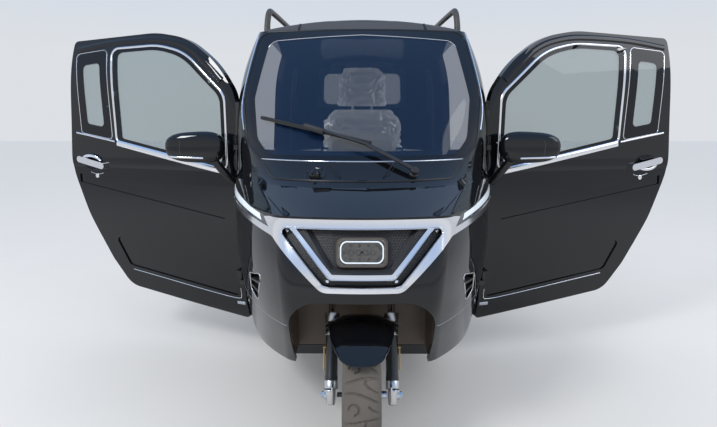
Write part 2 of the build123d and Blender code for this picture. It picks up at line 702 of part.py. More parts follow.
with BuildPart() as handlebar:
    with Locations(leg_plane):
        with Locations((0, FORK_OFFSET, CROWN_HIGH)):
            Cylinder(STEM_R, 492, align=(Align.CENTER, Align.CENTER, Align.MIN))
    with BuildLine() as bar:
        FilletPolyline((-290, -250, 1002), (-170, -285, 1010), (-60, -420, 1018), (60, -420, 1018),
                       (170, -285, 1010), (290, -250, 1002), radius=30)
    with BuildSketch(Plane(origin=(-290, -250, 1002), z_dir=(120, -35, 8))):
        Circle(11)
    sweep(path=bar.line)
    with BuildSketch(Plane.YZ.offset(-25)):
        with BuildLine():
            Polyline((-560, 975), (-540, 1010), (-410, 1038), (-410, 1010), (-510, 985), close=True)
        make_face()
    extrude(amount=50)
save(handlebar.part, "handlebar")

# Fender: a shallow dome round the wheel, wide in front of the fork legs and narrow between them
FENDER_ARC = 110
FENDER_START = 45
FENDER_HALF = [(0, 268), (72, 262), (119, 238)]
FENDER_WALL = 5
FENDER_FRONT_HALF = [(0, 400), (66, 400, 10), (72, 428, 20), (119, 498, 20), (119, 700), (0, 700)]
FENDER_PLAN_HALF = [(0, -1300), (119, -1300), (119, -1005), (76, -930), (76, -700), (0, -700)]
fender_line = mirrored(FENDER_HALF)[:0:-1] + FENDER_HALF
fender_top = [(x, FRONT_AXLE_Y - r) for x, r in fender_line]
fender_low = [(x, FRONT_AXLE_Y - r + FENDER_WALL) for x, r in fender_line]
fender_section = fender_top + fender_low[::-1]
wheel_axis = Axis((0, FRONT_AXLE_Y, FRONT_RADIUS), (-1, 0, 0))
with BuildPart() as fender_shell:
    with BuildSketch(Plane.XY.offset(FRONT_RADIUS)):
        with BuildLine():
            Polyline(*fender_section, close=True)
        make_face()
    revolve(axis=wheel_axis, revolution_arc=FENDER_ARC)
fender_front = front_prism([both_sides(FENDER_FRONT_HALF)], y_to=-700)
fender_plan = outline_face(both_sides(FENDER_PLAN_HALF))
with BuildPart() as front_fender:
    add(fender_shell.part.rotate(wheel_axis, FENDER_START))
    add(fender_front, mode=Mode.INTERSECT)
    with BuildSketch(Plane.XY.offset(300)):
        add(fender_plan)
    extrude(amount=300, mode=Mode.INTERSECT)
    with Locations(leg_plane):
        with Locations((LEG_X - 26, 0, 248), (26 - LEG_X, 0, 248)):
            Box(24, 30, 24)
    add(fork.part, mode=Mode.SUBTRACT)
save(front_fender.part, "front_fender")


# Wheels
def tyre_section(radius, width, bead):
    """Half section of a tyre in the plane of its axle: x along the axle, y out from it."""
    half = width / 2
    return [(half - 14, bead), (half, (radius + bead) / 2), (half - 12, radius - 16), (0, radius)]


def wheel(name, center, radius, width, shaft, disc=False):
    """Tyre and rim about an axle along X through the centre."""
    x, y, z = center
    axle = Plane(origin=center, x_dir=(1, 0, 0), z_dir=(0, 0, 1))
    half = tyre_section(radius, width, RIM_RADIUS)
    with BuildPart() as tyre:
        with BuildSketch(Plane(origin=center, x_dir=(1, 0, 0), z_dir=(0, -1, 0))):
            with BuildLine():
                shoulder = half[2]
                ThreePointArc((-shoulder[0], shoulder[1]), (0, radius), shoulder)
                ThreePointArc(shoulder, half[1], half[0])
                Polyline(half[0], (half[0][0] - 8, RIM_RADIUS), (shoulder[0] - 6, radius - 30),
                         (6 - shoulder[0], radius - 30), (8 - half[0][0], RIM_RADIUS), (-half[0][0], RIM_RADIUS))
                ThreePointArc((-half[0][0], RIM_RADIUS), (-half[1][0], half[1][1]), (-shoulder[0], shoulder[1]))
            make_face()
        revolve(axis=Axis(center, (1, 0, 0)))
    save(tyre.part, f"{name}_tyre")
    with BuildPart() as rim:
        with Locations(Plane(origin=center, x_dir=(0, 1, 0), z_dir=(1, 0, 0))):
            Cylinder(RIM_RADIUS, width - 28)
            Cylinder(RIM_RADIUS - 8, width - 20, mode=Mode.SUBTRACT)
            Cylinder(RIM_RADIUS - 8, 10)
            with PolarLocations(98, 10):
                Cylinder(20, 40, mode=Mode.SUBTRACT)
            Cylinder(40, width - 40)
            if disc:
                Cylinder(34, 92)
                with Locations((0, 0, 46)):
                    Cylinder(90, 4)
            Cylinder(shaft + RUNNING_FIT, 2 * width, mode=Mode.SUBTRACT)
    save(rim.part, f"{name}_rim")


wheel("front_wheel", (0, FRONT_AXLE_Y, FRONT_RADIUS), FRONT_RADIUS, FRONT_WIDTH, FRONT_SHAFT_R, disc=True)
wheel("rear_wheel_left", (REAR_TRACK / 2, REAR_AXLE_Y, REAR_RADIUS), REAR_RADIUS, REAR_WIDTH, SHAFT_R)
wheel("rear_wheel_right", (-REAR_TRACK / 2, REAR_AXLE_Y, REAR_RADIUS), REAR_RADIUS, REAR_WIDTH, SHAFT_R)
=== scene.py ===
import json
from math import acos, ceil, cos, hypot, pi, radians, sin, tan

import bmesh
import bpy
from mathutils import Matrix, Vector, noise
from mathutils.bvhtree import BVHTree


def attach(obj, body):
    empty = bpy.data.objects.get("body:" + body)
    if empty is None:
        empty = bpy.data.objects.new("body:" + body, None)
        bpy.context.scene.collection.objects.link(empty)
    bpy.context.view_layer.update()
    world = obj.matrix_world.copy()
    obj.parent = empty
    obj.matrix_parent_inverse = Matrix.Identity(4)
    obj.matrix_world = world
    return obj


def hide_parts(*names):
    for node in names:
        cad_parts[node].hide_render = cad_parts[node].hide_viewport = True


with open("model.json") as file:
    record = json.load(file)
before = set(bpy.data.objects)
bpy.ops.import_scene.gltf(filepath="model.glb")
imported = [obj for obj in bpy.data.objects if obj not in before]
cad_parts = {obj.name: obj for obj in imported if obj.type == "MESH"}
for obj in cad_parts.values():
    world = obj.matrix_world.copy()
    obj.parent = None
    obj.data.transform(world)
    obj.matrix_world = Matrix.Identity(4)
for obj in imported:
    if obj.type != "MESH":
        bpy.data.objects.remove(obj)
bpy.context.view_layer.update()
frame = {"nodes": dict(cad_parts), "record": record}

# Camera, in metres and degrees
CAMERA_Y = -2.57
CAMERA_Z = 1.14
CAMERA_PITCH = 10.0
CAMERA_YAW = 0.39
LENS_MM = 25.86

# The part's own numbers, in millimetres and degrees
HINGE_X = 570
HINGE_Y = -221
DOOR_OPEN = {1: 75, -1: 70}
FRONT_AXLE_Y = -964
FRONT_RADIUS = 236
FRONT_WIDTH = 120
RAKE = 27
LEG_X = 104
REAR_AXLE_Y = 880
REAR_RADIUS = 247
REAR_WIDTH = 135
REAR_X = 460
RIM_RADIUS = 152
GRILLE_TILT = 17
SIDE_NAMES = {1: "left", -1: "right"}


def set_camera():
    data = bpy.data.cameras.new("camera")
    data.lens = LENS_MM
    data.sensor_width = 36.0
    camera = bpy.data.objects.new("camera", data)
    camera.location = (0.0, CAMERA_Y, CAMERA_Z)
    camera.rotation_euler = (radians(90 - CAMERA_PITCH), 0.0, radians(CAMERA_YAW))
    bpy.context.scene.collection.objects.link(camera)
    bpy.context.scene.camera = camera


# Material helpers
def new_material(name):
    material = bpy.data.materials.new(name)
    material.use_nodes = True
    return material, material.node_tree.nodes, material.node_tree.links


def plain(name, color, roughness, metallic=0.0, coat=0.0, coat_roughness=0.03, grain=200.0, bump=0.02,
          vary=0.1, rough_vary=0.1, alpha=1.0, specular=0.5, emission=0.0, sheen=0.0, clouds=3.0):
    """A surface with fine bump and slight changes of colour and roughness."""
    material, nodes, links = new_material(name)
    shader = nodes["Principled BSDF"]
    place = nodes.new("ShaderNodeTexCoord")
    cloud = nodes.new("ShaderNodeTexNoise")
    cloud.inputs["Scale"].default_value = clouds
    cloud.inputs["Detail"].default_value = 6.0
    links.new(place.outputs["Object"], cloud.inputs["Vector"])
    tone = nodes.new("ShaderNodeMix")
    tone.data_type = "RGBA"
    tone.inputs["A"].default_value = (*(c * (1 - vary) for c in color), 1)
    tone.inputs["B"].default_value = (*(min(1, c * (1 + vary)) for c in color), 1)
    links.new(cloud.outputs["Fac"], tone.inputs["Factor"])
    links.new(tone.outputs["Result"], shader.inputs["Base Color"])
    shine = nodes.new("ShaderNodeMapRange")
    shine.inputs["To Min"].default_value = roughness * (1 - rough_vary)
    shine.inputs["To Max"].default_value = roughness * (1 + rough_vary)
    links.new(cloud.outputs["Fac"], shine.inputs["Value"])
    links.new(shine.outputs["Result"], shader.inputs["Roughness"])
    if bump:
        grains = nodes.new("ShaderNodeTexNoise")
        grains.inputs["Scale"].default_value = grain
        links.new(place.outputs["Object"], grains.inputs["Vector"])
        relief = nodes.new("ShaderNodeBump")
        relief.inputs["Strength"].default_value = bump
        relief.inputs["Distance"].default_value = 0.002
        links.new(grains.outputs["Fac"], relief.inputs["Height"])
        links.new(relief.outputs["Normal"], shader.inputs["Normal"])
    shader.inputs["Metallic"].default_value = metallic
    shader.inputs["Coat Weight"].default_value = coat
    shader.inputs["Coat Roughness"].default_value = coat_roughness
    shader.inputs["Alpha"].default_value = alpha
    shader.inputs["Specular IOR Level"].default_value = specular
    shader.inputs["Sheen Weight"].default_value = sheen
    if emission:
        shader.inputs["Emission Color"].default_value = (*color, 1)
        shader.inputs["Emission Strength"].default_value = emission
    return material


PAINT = plain("gloss_black_paint", (0.004, 0.0045, 0.006), 0.1, coat=1.0, coat_roughness=0.02, grain=900,
              bump=0.004, vary=0.2, specular=0.0)
PLASTIC = plain("black_plastic", (0.016, 0.016, 0.017), 0.48, grain=1500, bump=0.25)
# The windscreen's dark blue is partly the glass's own tint and partly a painted reflection of the blue sky.
SCREEN = plain("windscreen_tint_painted_sky", (0.006, 0.02, 0.055), 0.02, alpha=0.46, bump=0.0)
GLASS = plain("tinted_glass", (0.08, 0.16, 0.17), 0.02, alpha=0.38, bump=0.0)
FRIT = plain("glass_border", (0.003, 0.004, 0.007), 0.06, bump=0.0, specular=0.35)
CHROME = plain("bright_trim", (0.86, 0.86, 0.88), 0.13, metallic=1.0, grain=700, bump=0.01)
DARK_LENS = plain("smoked_lens", (0.012, 0.016, 0.022), 0.05, coat=1.0, grain=60, bump=0.02)
CLEAR_LENS = plain("clear_lens", (0.9, 0.93, 0.95), 0.03, alpha=0.07, bump=0.0)
LIGHT_GUIDE = plain("light_guide", (0.8, 0.88, 0.97), 0.25, coat=0.8, grain=160, bump=0.2, emission=0.35)
RED_LENS = plain("red_lens", (0.42, 0.006, 0.008), 0.1, coat=1.0, grain=60, bump=0.05)
TYRE = plain("tyre_rubber", (0.12, 0.105, 0.09), 0.8, grain=500, bump=0.35, vary=0.4, clouds=9)
RIM = plain("wheel_alloy", (0.33, 0.33, 0.34), 0.35, metallic=1.0, grain=700, bump=0.05)
STEEL = plain("painted_steel", (0.012, 0.012, 0.012), 0.35, coat=0.3, grain=800, bump=0.1)
ALLOY = plain("fork_alloy", (0.62, 0.61, 0.6), 0.3, metallic=1.0, grain=900, bump=0.12)
ZINC = plain("zinc_plate", (0.55, 0.6, 0.66), 0.25, metallic=1.0, grain=700, bump=0.05)
SEAT = plain("seat_cover", (0.11, 0.11, 0.115), 0.55, grain=700, bump=0.35, sheen=0.2)
# The seat wrap's glow is painted light that makes it show bright inside the cab; its near-white colour is partly the
# film's own and partly a painted highlight.
WRAP = plain("clear_wrap_painted_glow", (0.9, 0.91, 0.9), 0.2, metallic=0.35, alpha=0.8, coat=1.0, grain=38, bump=1.0,
             emission=0.22)
GREY = plain("grey_plastic", (0.06, 0.055, 0.05), 0.42, grain=1500, bump=0.25)
# The cream colour is the plastic's own; its glow is painted light that brightens the grips and instrument pod inside
# the cab.
CREAM_PAINTED_GLOW = plain("cream_plastic_painted_glow", (0.74, 0.74, 0.66), 0.3, coat=0.4, grain=1200, bump=0.05, emission=0.1)
RUBBER = plain("seal_rubber", (0.009, 0.009, 0.009), 0.3, grain=900, bump=0.08)
TAN = plain("bracket_tan", (0.5, 0.33, 0.13), 0.4, grain=600, bump=0.1)
SMOKE = plain("lamp_inside", (0.075, 0.062, 0.05), 0.25, metallic=0.7, grain=300, bump=0.05)
BRONZE = plain("lamp_bronze", (0.13, 0.1, 0.075), 0.3, metallic=0.8, coat=0.6, grain=300, bump=0.05)
MIRROR = plain("mirror_glass", (0.9, 0.92, 0.93), 0.02, metallic=1.0, bump=0.0)
LINER = plain("arch_liner", (0.1, 0.07, 0.045), 0.35, grain=300, bump=0.2, vary=0.5, clouds=6)

SLOT_MATERIALS = {
    "gloss_black": PAINT, "matte_black": PLASTIC, "tinted_glass": GLASS, "chrome": CHROME, "clear_lens": DARK_LENS,
    "red_lens": RED_LENS, "tyre_rubber": TYRE, "rim_alloy": RIM, "frame_steel": STEEL, "fork_alloy": ALLOY,
    "seat_fabric": SEAT, "grey_plastic": GREY,
}
NODE_MATERIALS = {
    "windshield": SCREEN, "front_arch_liner": LINER, "door_left_handle": CHROME, "door_right_handle": CHROME,
}


def dress_nodes():
    """Each carried-over node gets the material of its slot, or its own."""
    slots = {row["node"]: row["material_slot"] for row in frame["record"]["subparts"]}
    for name, node in frame["nodes"].items():
        node.data.materials.clear()
        node.data.materials.append(NODE_MATERIALS.get(name, SLOT_MATERIALS[slots[name]]))


# Points and faces of pieces
def mm(x, y, z):
    return Vector((x, y, z)) * 0.001


class Shape:
    """Points and faces of one piece, in metres in the vehicle's frame."""

    def __init__(self):
        self.points = []
        self.faces = []

    def add(self, points, faces):
        start = len(self.points)
        self.points.extend(Vector(p) for p in points)
        self.faces.extend(tuple(start + i for i in face) for face in faces)

    def grid(self, rows, around=False, along=False):
        """Quads over rows of points; around joins each row's ends, along joins the last row to the first."""
        width = len(rows[0])
        faces = []
        for r in range(len(rows) if along else len(rows) - 1):
            low = r * width
            high = ((r + 1) % len(rows)) * width
            for c in range(width if around else width - 1):
                n = (c + 1) % width
                faces.append((low + c, low + n, high + n, high + c))
        self.add([p for row in rows for p in row], faces)

    def sweep(self, path, profile, ups, closed=False):
        """A profile of (side, up) offsets in millimetres carried along the path, its up at each point given."""
        rows = []
        count = len(path)
        for i, (point, up) in enumerate(zip(path, ups)):
            before = path[(i - 1) % count] if closed else path[max(i - 1, 0)]
            after = path[(i + 1) % count] if closed else path[min(i + 1, count - 1)]
            run = (after - before).normalized()
            side = run.cross(up).normalized()
            top = side.cross(run)
            rows.append([point + side * a * 0.001 + top * b * 0.001 for a, b in profile])
        self.grid(rows, around=True, along=closed)
        if not closed:
            width = len(profile)
            start = len(self.points) - width * count
            self.faces.append(tuple(start + i for i in range(width))[::-1])
            self.faces.append(tuple(start + (count - 1) * width + i for i in range(width)))

    def lathe(self, profile, origin, axis, steps=32):
        """A closed turned form: (radius, height) in millimetres about an axis, its ends on the axis filled."""
        axis = Vector(axis).normalized()
        side = axis.orthogonal().normalized()
        other = axis.cross(side)
        rows = []
        for radius, height in profile:
            rows.append([
                origin + axis * height * 0.001
                + (side * cos(2 * pi * k / steps) + other * sin(2 * pi * k / steps)) * radius * 0.001
                for k in range(steps)])
        self.grid(rows, around=True)
        start = len(self.points) - steps * len(rows)
        self.faces.append(tuple(start + k for k in range(steps))[::-1])
        self.faces.append(tuple(start + steps * (len(rows) - 1) + k for k in range(steps)))

    def block(self, size, place, bevel=2.0, steps=2):
        """A box of a size in millimetres with rounded edges, put in place by a matrix."""
        box = bmesh.new()
        bmesh.ops.create_cube(box, size=1.0)
        bmesh.ops.scale(box, vec=Vector(size) * 0.001, verts=box.verts)
        bmesh.ops.bevel(box, geom=list(box.edges), offset=bevel * 0.001, segments=steps, affect="EDGES", profile=0.5)
        box.verts.ensure_lookup_table()
        self.add([place @ v.co for v in box.verts], [tuple(v.index for v in f.verts) for f in box.faces])
        box.free()

    def piece(self, name, body, material, slot, replaces=(), smooth=True):
        mesh = bpy.data.meshes.new(name)
        mesh.from_pydata([tuple(p) for p in self.points], [], self.faces)
        mesh.validate()
        form = bmesh.new()
        form.from_mesh(mesh)
        bmesh.ops.recalc_face_normals(form, faces=form.faces)
        form.to_mesh(mesh)
        form.free()
        return place_mesh(name, mesh, body, material, replaces, smooth)


def place_mesh(name, mesh, body, material, replaces=(), smooth=True):
    """An object of the mesh on its body, with its material."""
    mesh.materials.clear()
    mesh.materials.append(material)
    for polygon in mesh.polygons:
        polygon.use_smooth = smooth
    obj = bpy.data.objects.new(name, mesh)
    bpy.context.scene.collection.objects.link(obj)
    if smooth:
        mesh.set_sharp_from_angle(angle=radians(38))
    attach(obj, body)
    if replaces:
        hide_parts(*replaces)
    return obj


def both_sides(half):
    return half + [(-x, *rest) for x, *rest in reversed(half) if x]


def rounded(outline, step=6.0):
    """A closed outline of (a, b, radius) corners as points about a step apart."""
    points = []
    count = len(outline)
    corners = []
    for i in range(count):
        here = Vector(outline[i][:2])
        radius = outline[i][2] if len(outline[i]) > 2 else 0
        to_last = (Vector(outline[i - 1][:2]) - here).normalized()
        to_next = (Vector(outline[(i + 1) % count][:2]) - here).normalized()
        angle = acos(max(-1, min(1, to_last.dot(to_next))))
        if not radius or angle > pi - 0.01:
            corners.append([here])
            continue
        reach = radius / tan(angle / 2)
        start = here + to_last * reach
        end = here + to_next * reach
        centre = here + (to_last + to_next).normalized() * radius / sin(angle / 2)
        turn = pi - angle
        steps = max(2, ceil(radius * turn / step))
        first = start - centre
        sign = 1 if first.x * (end - centre).y - first.y * (end - centre).x > 0 else -1
        arc = []
        for k in range(steps + 1):
            a = sign * turn * k / steps
            arc.append(centre + Vector((first.x * cos(a) - first.y * sin(a), first.x * sin(a) + first.y * cos(a))))
        corners.append(arc)
    for i, arc in enumerate(corners):
        points.extend(arc)
        ahead = corners[(i + 1) % count][0]
        gap = (ahead - arc[-1]).length
        pieces = ceil(gap / step)
        points.extend(arc[-1].lerp(ahead, k / pieces) for k in range(1, pieces))
    return points


def resample(loop, count):
    """The closed loop as evenly spaced points."""
    lengths = [0.0]
    for a, b in zip(loop, loop[1:] + loop[:1]):
        lengths.append(lengths[-1] + (b - a).length)
    total = lengths[-1]
    points = []
    k = 0
    for i in range(count):
        target = total * i / count
        while lengths[k + 1] < target:
            k += 1
        share = (target - lengths[k]) / max(lengths[k + 1] - lengths[k], 1e-9)
        points.append(loop[k].lerp(loop[(k + 1) % len(loop)], share))
    return points


def spaced(points, step=8.0):
    """An open line with points at most a step apart."""
    line = [Vector(points[0])]
    for a, b in zip(points, points[1:]):
        a, b = Vector(a), Vector(b)
        pieces = max(1, ceil((b - a).length / step))
        line.extend(a.lerp(b, k / pieces) for k in range(1, pieces + 1))
    return line


def soft_line(points, rounds=2):
    """An open line with its corners cut round."""
    points = [Vector(p) for p in points]
    for _ in range(rounds):
        cut = [points[0]]
        for a, b in zip(points, points[1:]):
            cut.extend((a.lerp(b, 0.25), a.lerp(b, 0.75)))
        points = cut + [points[-1]]
    return points


# Surfaces of the solids, for pieces that lie on them
def surface(*names):
    points, faces = [], []
    for name in names:
        mesh = frame["nodes"][name].data
        start = len(points)
        points.extend(v.co.copy() for v in mesh.vertices)
        faces.extend([start + i for i in p.vertices] for p in mesh.polygons)
    return BVHTree.FromPolygons(points, faces)


def cast(tree, origin, direction, proud):
    """Where a ray meets the surface, moved off it by millimetres, and the surface's normal there."""
    hit, normal, _, _ = tree.ray_cast(origin, direction)
    if hit is None:
        return None
    if normal.dot(direction) > 0:
        normal = -normal
    return hit + normal * proud * 0.001, normal


FRONT_TREE = surface("front_body", "windshield", "cowl_panel", "roof_panel")
PANEL_TREE = surface("grille_panel")
AHEAD = Vector((0, 1, 0))


def on_front(x, z, proud=0.0, tree=None):
    """The point of the front at a width and height in millimetres, and its normal."""
    return cast(tree or FRONT_TREE, mm(x, -2000, z), AHEAD, proud)


def front_strip(shape, line, profile, closed=False, tree=None):
    """A profile laid along a line of (x, z) points on the front."""
    found = [on_front(p[0], p[1], 0.0, tree) for p in line]
    found = [f for f in found if f]
    shape.sweep([f[0] for f in found], profile, [f[1] for f in found], closed)


def band(shape, outer, inner, spot, low=0.15, high=1.4, rings=3, count=180):
    """A flat border between two closed outlines, laid on a surface by the spot function."""
    outer = resample(outer, count)
    inner = resample(inner, count)
    rows = []
    for k, proud in [(0, low)] + [(k, high) for k in range(rings + 1)] + [(rings, low)]:
        rows.append([spot(a.lerp(b, k / rings), proud) for a, b in zip(outer, inner)])
    shape.grid(rows, around=True)


def bead(width, height, steps=5):
    """Half-round profile of a strip, its foot a little under the surface."""
    arc = [(width / 2 * cos(pi * k / steps), height * sin(pi * k / steps)) for k in range(steps + 1)]
    return arc + [(-width / 2, -0.6), (width / 2, -0.6)]


# Windscreen: black glass border, seal, bright edge strips and the line over the cowl
SCREEN_HALF = [(330, 940, 60), (470, 1060, 60), (503, 1240, 60), (462, 1546, 60)]
PANE_HALF = [(398, 1002), (470, 1062, 60), (501, 1240, 60), (460, 1544, 60)]
CLEAR_HALF = [(366, 1018, 34), (424, 1076, 60), (453, 1240, 60), (415, 1500, 50), (0, 1522)]


def front_spot(p, proud):
    return on_front(p[0], p[1], proud)[0]


def make_screen():
    frit = Shape()
    pane = rounded([(0, 1002)] + both_sides(PANE_HALF))
    clear = rounded([(0, 1018)] + both_sides(CLEAR_HALF[:-1])[:4] + [(0, 1522)] + both_sides(CLEAR_HALF[:-1])[4:])
    band(frit, pane, clear, front_spot)
    frit.piece("windscreen_border", "chassis", FRIT, "gloss_black")

    seal = Shape()
    outline = rounded([(0, 936)] + [(x + 5, z - 3 if z < 1000 else z + 3 if z > 1500 else z, *r)
                                    for x, z, *r in SCREEN_HALF]
                      + [(-x - 5, z - 3 if z < 1000 else z + 3 if z > 1500 else z, *r)
                         for x, z, *r in reversed(SCREEN_HALF)])
    front_strip(seal, outline, bead(11, 4.5), closed=True)
    seal.piece("windscreen_seal", "chassis", RUBBER, "matte_black")

    bright = Shape()
    for side in (-1, 1):
        edge = [(side * 497, 1110), (side * 515, 1180), (side * 517, 1240), (side * 500, 1380), (side * 479, 1530)]
        front_strip(bright, spaced(soft_line(edge)), bead(7, 3.5))
    front_strip(bright, spaced([(-396, 1000), (396, 1000)]), bead(5, 2.4))
    line = [p for p in clear if p.y > 1470]
    line.sort(key=lambda p: p.x)
    front_strip(bright, line, bead(2.4, 2.2))
    bright.piece("windscreen_bright", "chassis", CHROME, "chrome")


# Cowl: two ribs beside the middle panel, the washer knob and the latch
def make_cowl():
    ribs = Shape()
    for side in (-1, 1):
        front_strip(ribs, spaced([(side * 114, 993), (side * 77, 946)]), bead(7, 4))
        front_strip(ribs, spaced([(side * 126, 991), (side * 92, 950)]), bead(3, 2))
    latch = on_front(0, 938, 2)
    turn = latch[1].to_track_quat("Z", "Y").to_matrix().to_4x4()
    ribs.block((34, 12, 8), Matrix.Translation(latch[0]) @ turn, 3)
    ribs.piece("cowl_ribs", "chassis", PAINT, "gloss_black")
    knob = Shape()
    spot, normal = on_front(-170, 952, -1)
    knob.lathe([(40, 0), (40, 1.8), (37, 3), (35, 1.6), (22, 1.6), (20, 6), (18, 14), (13, 21), (6, 24), (0.4, 25)],
               spot, normal, 40)
    knob.block((8, 30, 7), Matrix.Translation(spot + normal * 0.022) @ normal.to_track_quat("Z", "Y").to_matrix().to_4x4(),
               2.5)
    knob.piece("washer_knob", "chassis", PAINT, "gloss_black")


# Roof: the lighter front lip with its two notches, and the rails
def make_roof():
    lip = Shape()
    columns = []
    for k in range(61):
        x = -452 + 904 * k / 60
        foot = on_front(x, 1551, 2.0)[0]
        column = [foot + Vector((0, 0.004, 0)), foot]
        for j in range(1, 8):
            y = foot.y * 1000 + 56 * j / 7
            found = cast(FRONT_TREE, mm(x, y, 2000), Vector((0, 0, -1)), 2.0)
            if found[0].z > column[-1].z:
                column.append(found[0])
            else:
                column.append(column[-1] + Vector((0, 0.008, 0)))
        columns.append(column)
    lip.grid(columns)
    lip.piece("roof_lip", "chassis", GREY, "grey_plastic")

    notches = Shape()
    for side in (-1, 1):
        found = on_front(side * 285, 1568, 2.5)
        if found:
            turn = found[1].to_track_quat("Z", "Y").to_matrix().to_4x4()
            notches.block((9, 46, 5), Matrix.Translation(found[0]) @ turn, 1.5)
    notches.piece("roof_lip_notches", "chassis", RUBBER, "matte_black")

    rails = Shape()
    for side in (-1, 1):
        path = [(side * 456, 12, 1560), (side * 455, 24, 1620), (side * 450, 52, 1674), (side * 444, 120, 1676),
                (side * 432, 300, 1676), (side * 418, 560, 1676), (side * 410, 700, 1674), (side * 406, 785, 1650),
                (side * 400, 835, 1560)]
        line = [mm(*p) for p in soft_line(path, 3)]
        oval = [(13 * cos(2 * pi * k / 14), 15 * sin(2 * pi * k / 14)) for k in range(14)]
        rails.sweep(line, oval, [Vector((side * 0.3, 0, 1)).normalized()] * len(line))
    rails.piece("roof_rails_round", "chassis", GREY, "matte_black", replaces=["roof_rails"])


# Grille: wire mesh on the recessed panel, four bolts, and the lamp
RECESS = [(0, 652), (112, 652), (262, 806), (-262, 806), (-112, 652)]
V_OUTSIDE = [(106, 661), (236, 812), (-236, 812), (-106, 661)]
CENTRE_FIELD = [(86, 704), (200, 806), (-200, 806), (-86, 704)]
LAMP_FIELD = (90, 697, 800)
RING_EDGE = [(118, 643, 29), (273, 815, 14)]
V_EDGE = [(221, 806), (163, 741), (101, 672), (90, 669), (0, 669), (-90, 669), (-101, 672), (-163, 741), (-221, 806)]
CELL = 9.0


def inside(point, polygon):
    x, z = point
    found = False
    for (ax, az), (bx, bz) in zip(polygon, polygon[1:] + polygon[:1]):
        if (az > z) != (bz > z) and x < (bx - ax) * (z - az) / (bz - az) + ax:
            found = not found
    return found


def make_grille():
    wires = Shape()
    rows = int(170 / (CELL * 0.866)) + 1
    for r in range(rows):
        z = 648 + r * CELL * 0.866
        for c in range(-32, 33):
            x = (c + 0.5 * (r % 2)) * CELL
            channel = inside((x, z), RECESS) and not inside((x, z), V_OUTSIDE)
            centre = inside((x, z), CENTRE_FIELD) and not (abs(x) < LAMP_FIELD[0] and LAMP_FIELD[1] < z < LAMP_FIELD[2])
            if not (channel or centre):
                continue
            rings = []
            for radius, proud in ((0.56, 0.2), (0.56, 1.6), (0.44, 1.6), (0.40, 0.2)):
                ring = []
                for k in range(6):
                    a = radians(60 * k + 30)
                    found = on_front(x + CELL * radius * cos(a), z + CELL * radius * sin(a), proud, PANEL_TREE)
                    if found is None:
                        break
                    ring.append(found[0])
                rings.append(ring)
            if all(len(ring) == 6 for ring in rings):
                spread = [p.y for ring in rings for p in ring]
                if max(spread) - min(spread) < 0.007:
                    wires.grid(rings, around=True)
    wires.piece("grille_mesh", "chassis", GREY, "matte_black", smooth=False)

    bolts = Shape()
    for x, z in ((239, 799), (-239, 799), (107, 656), (-107, 656)):
        found = on_front(x, z, 1.0, PANEL_TREE)
        if found:
            bolts.lathe([(6.5, 0), (6.5, 2.2), (5.4, 3.8), (3.2, 4.4), (3.0, 2.2), (0.3, 2.1)], found[0], found[1], 18)
    bolts.piece("grille_bolts", "chassis", CHROME, "chrome")

    beads = Shape()
    tree = surface("chrome_trim")
    front_strip(beads, rounded([(0, 644)] + both_sides(RING_EDGE)), bead(4, 3), closed=True, tree=tree)
    front_strip(beads, spaced(soft_line(V_EDGE, 1), 5), bead(4, 3), tree=tree)
    beads.piece("trim_beads", "chassis", CHROME, "chrome")


LAMP_X = Vector((1, 0, 0))
LAMP_UP = Vector((0, sin(radians(GRILLE_TILT)), cos(radians(GRILLE_TILT))))
LAMP_OUT = Vector((0, -cos(radians(GRILLE_TILT)), sin(radians(GRILLE_TILT))))
LAMP_AT = mm(0, -1034, 748)


def lamp_point(x, up, out):
    return LAMP_AT + (LAMP_X * x + LAMP_UP * up + LAMP_OUT * out) * 0.001


def rounded_box_loop(half_w, half_h, radius):
    return rounded([(half_w, -half_h, radius), (half_w, half_h, radius), (-half_w, half_h, radius),
                    (-half_w, -half_h, radius)], 4)


def lamp_rings(shape, rings, count=72):
    """Rings of (half width, half height, radius, depth) joined into a shell."""
    shape.grid([[lamp_point(p.x, p.y, out) for p in resample(rounded_box_loop(w, h, r), count)]
                for w, h, r, out in rings], around=True)


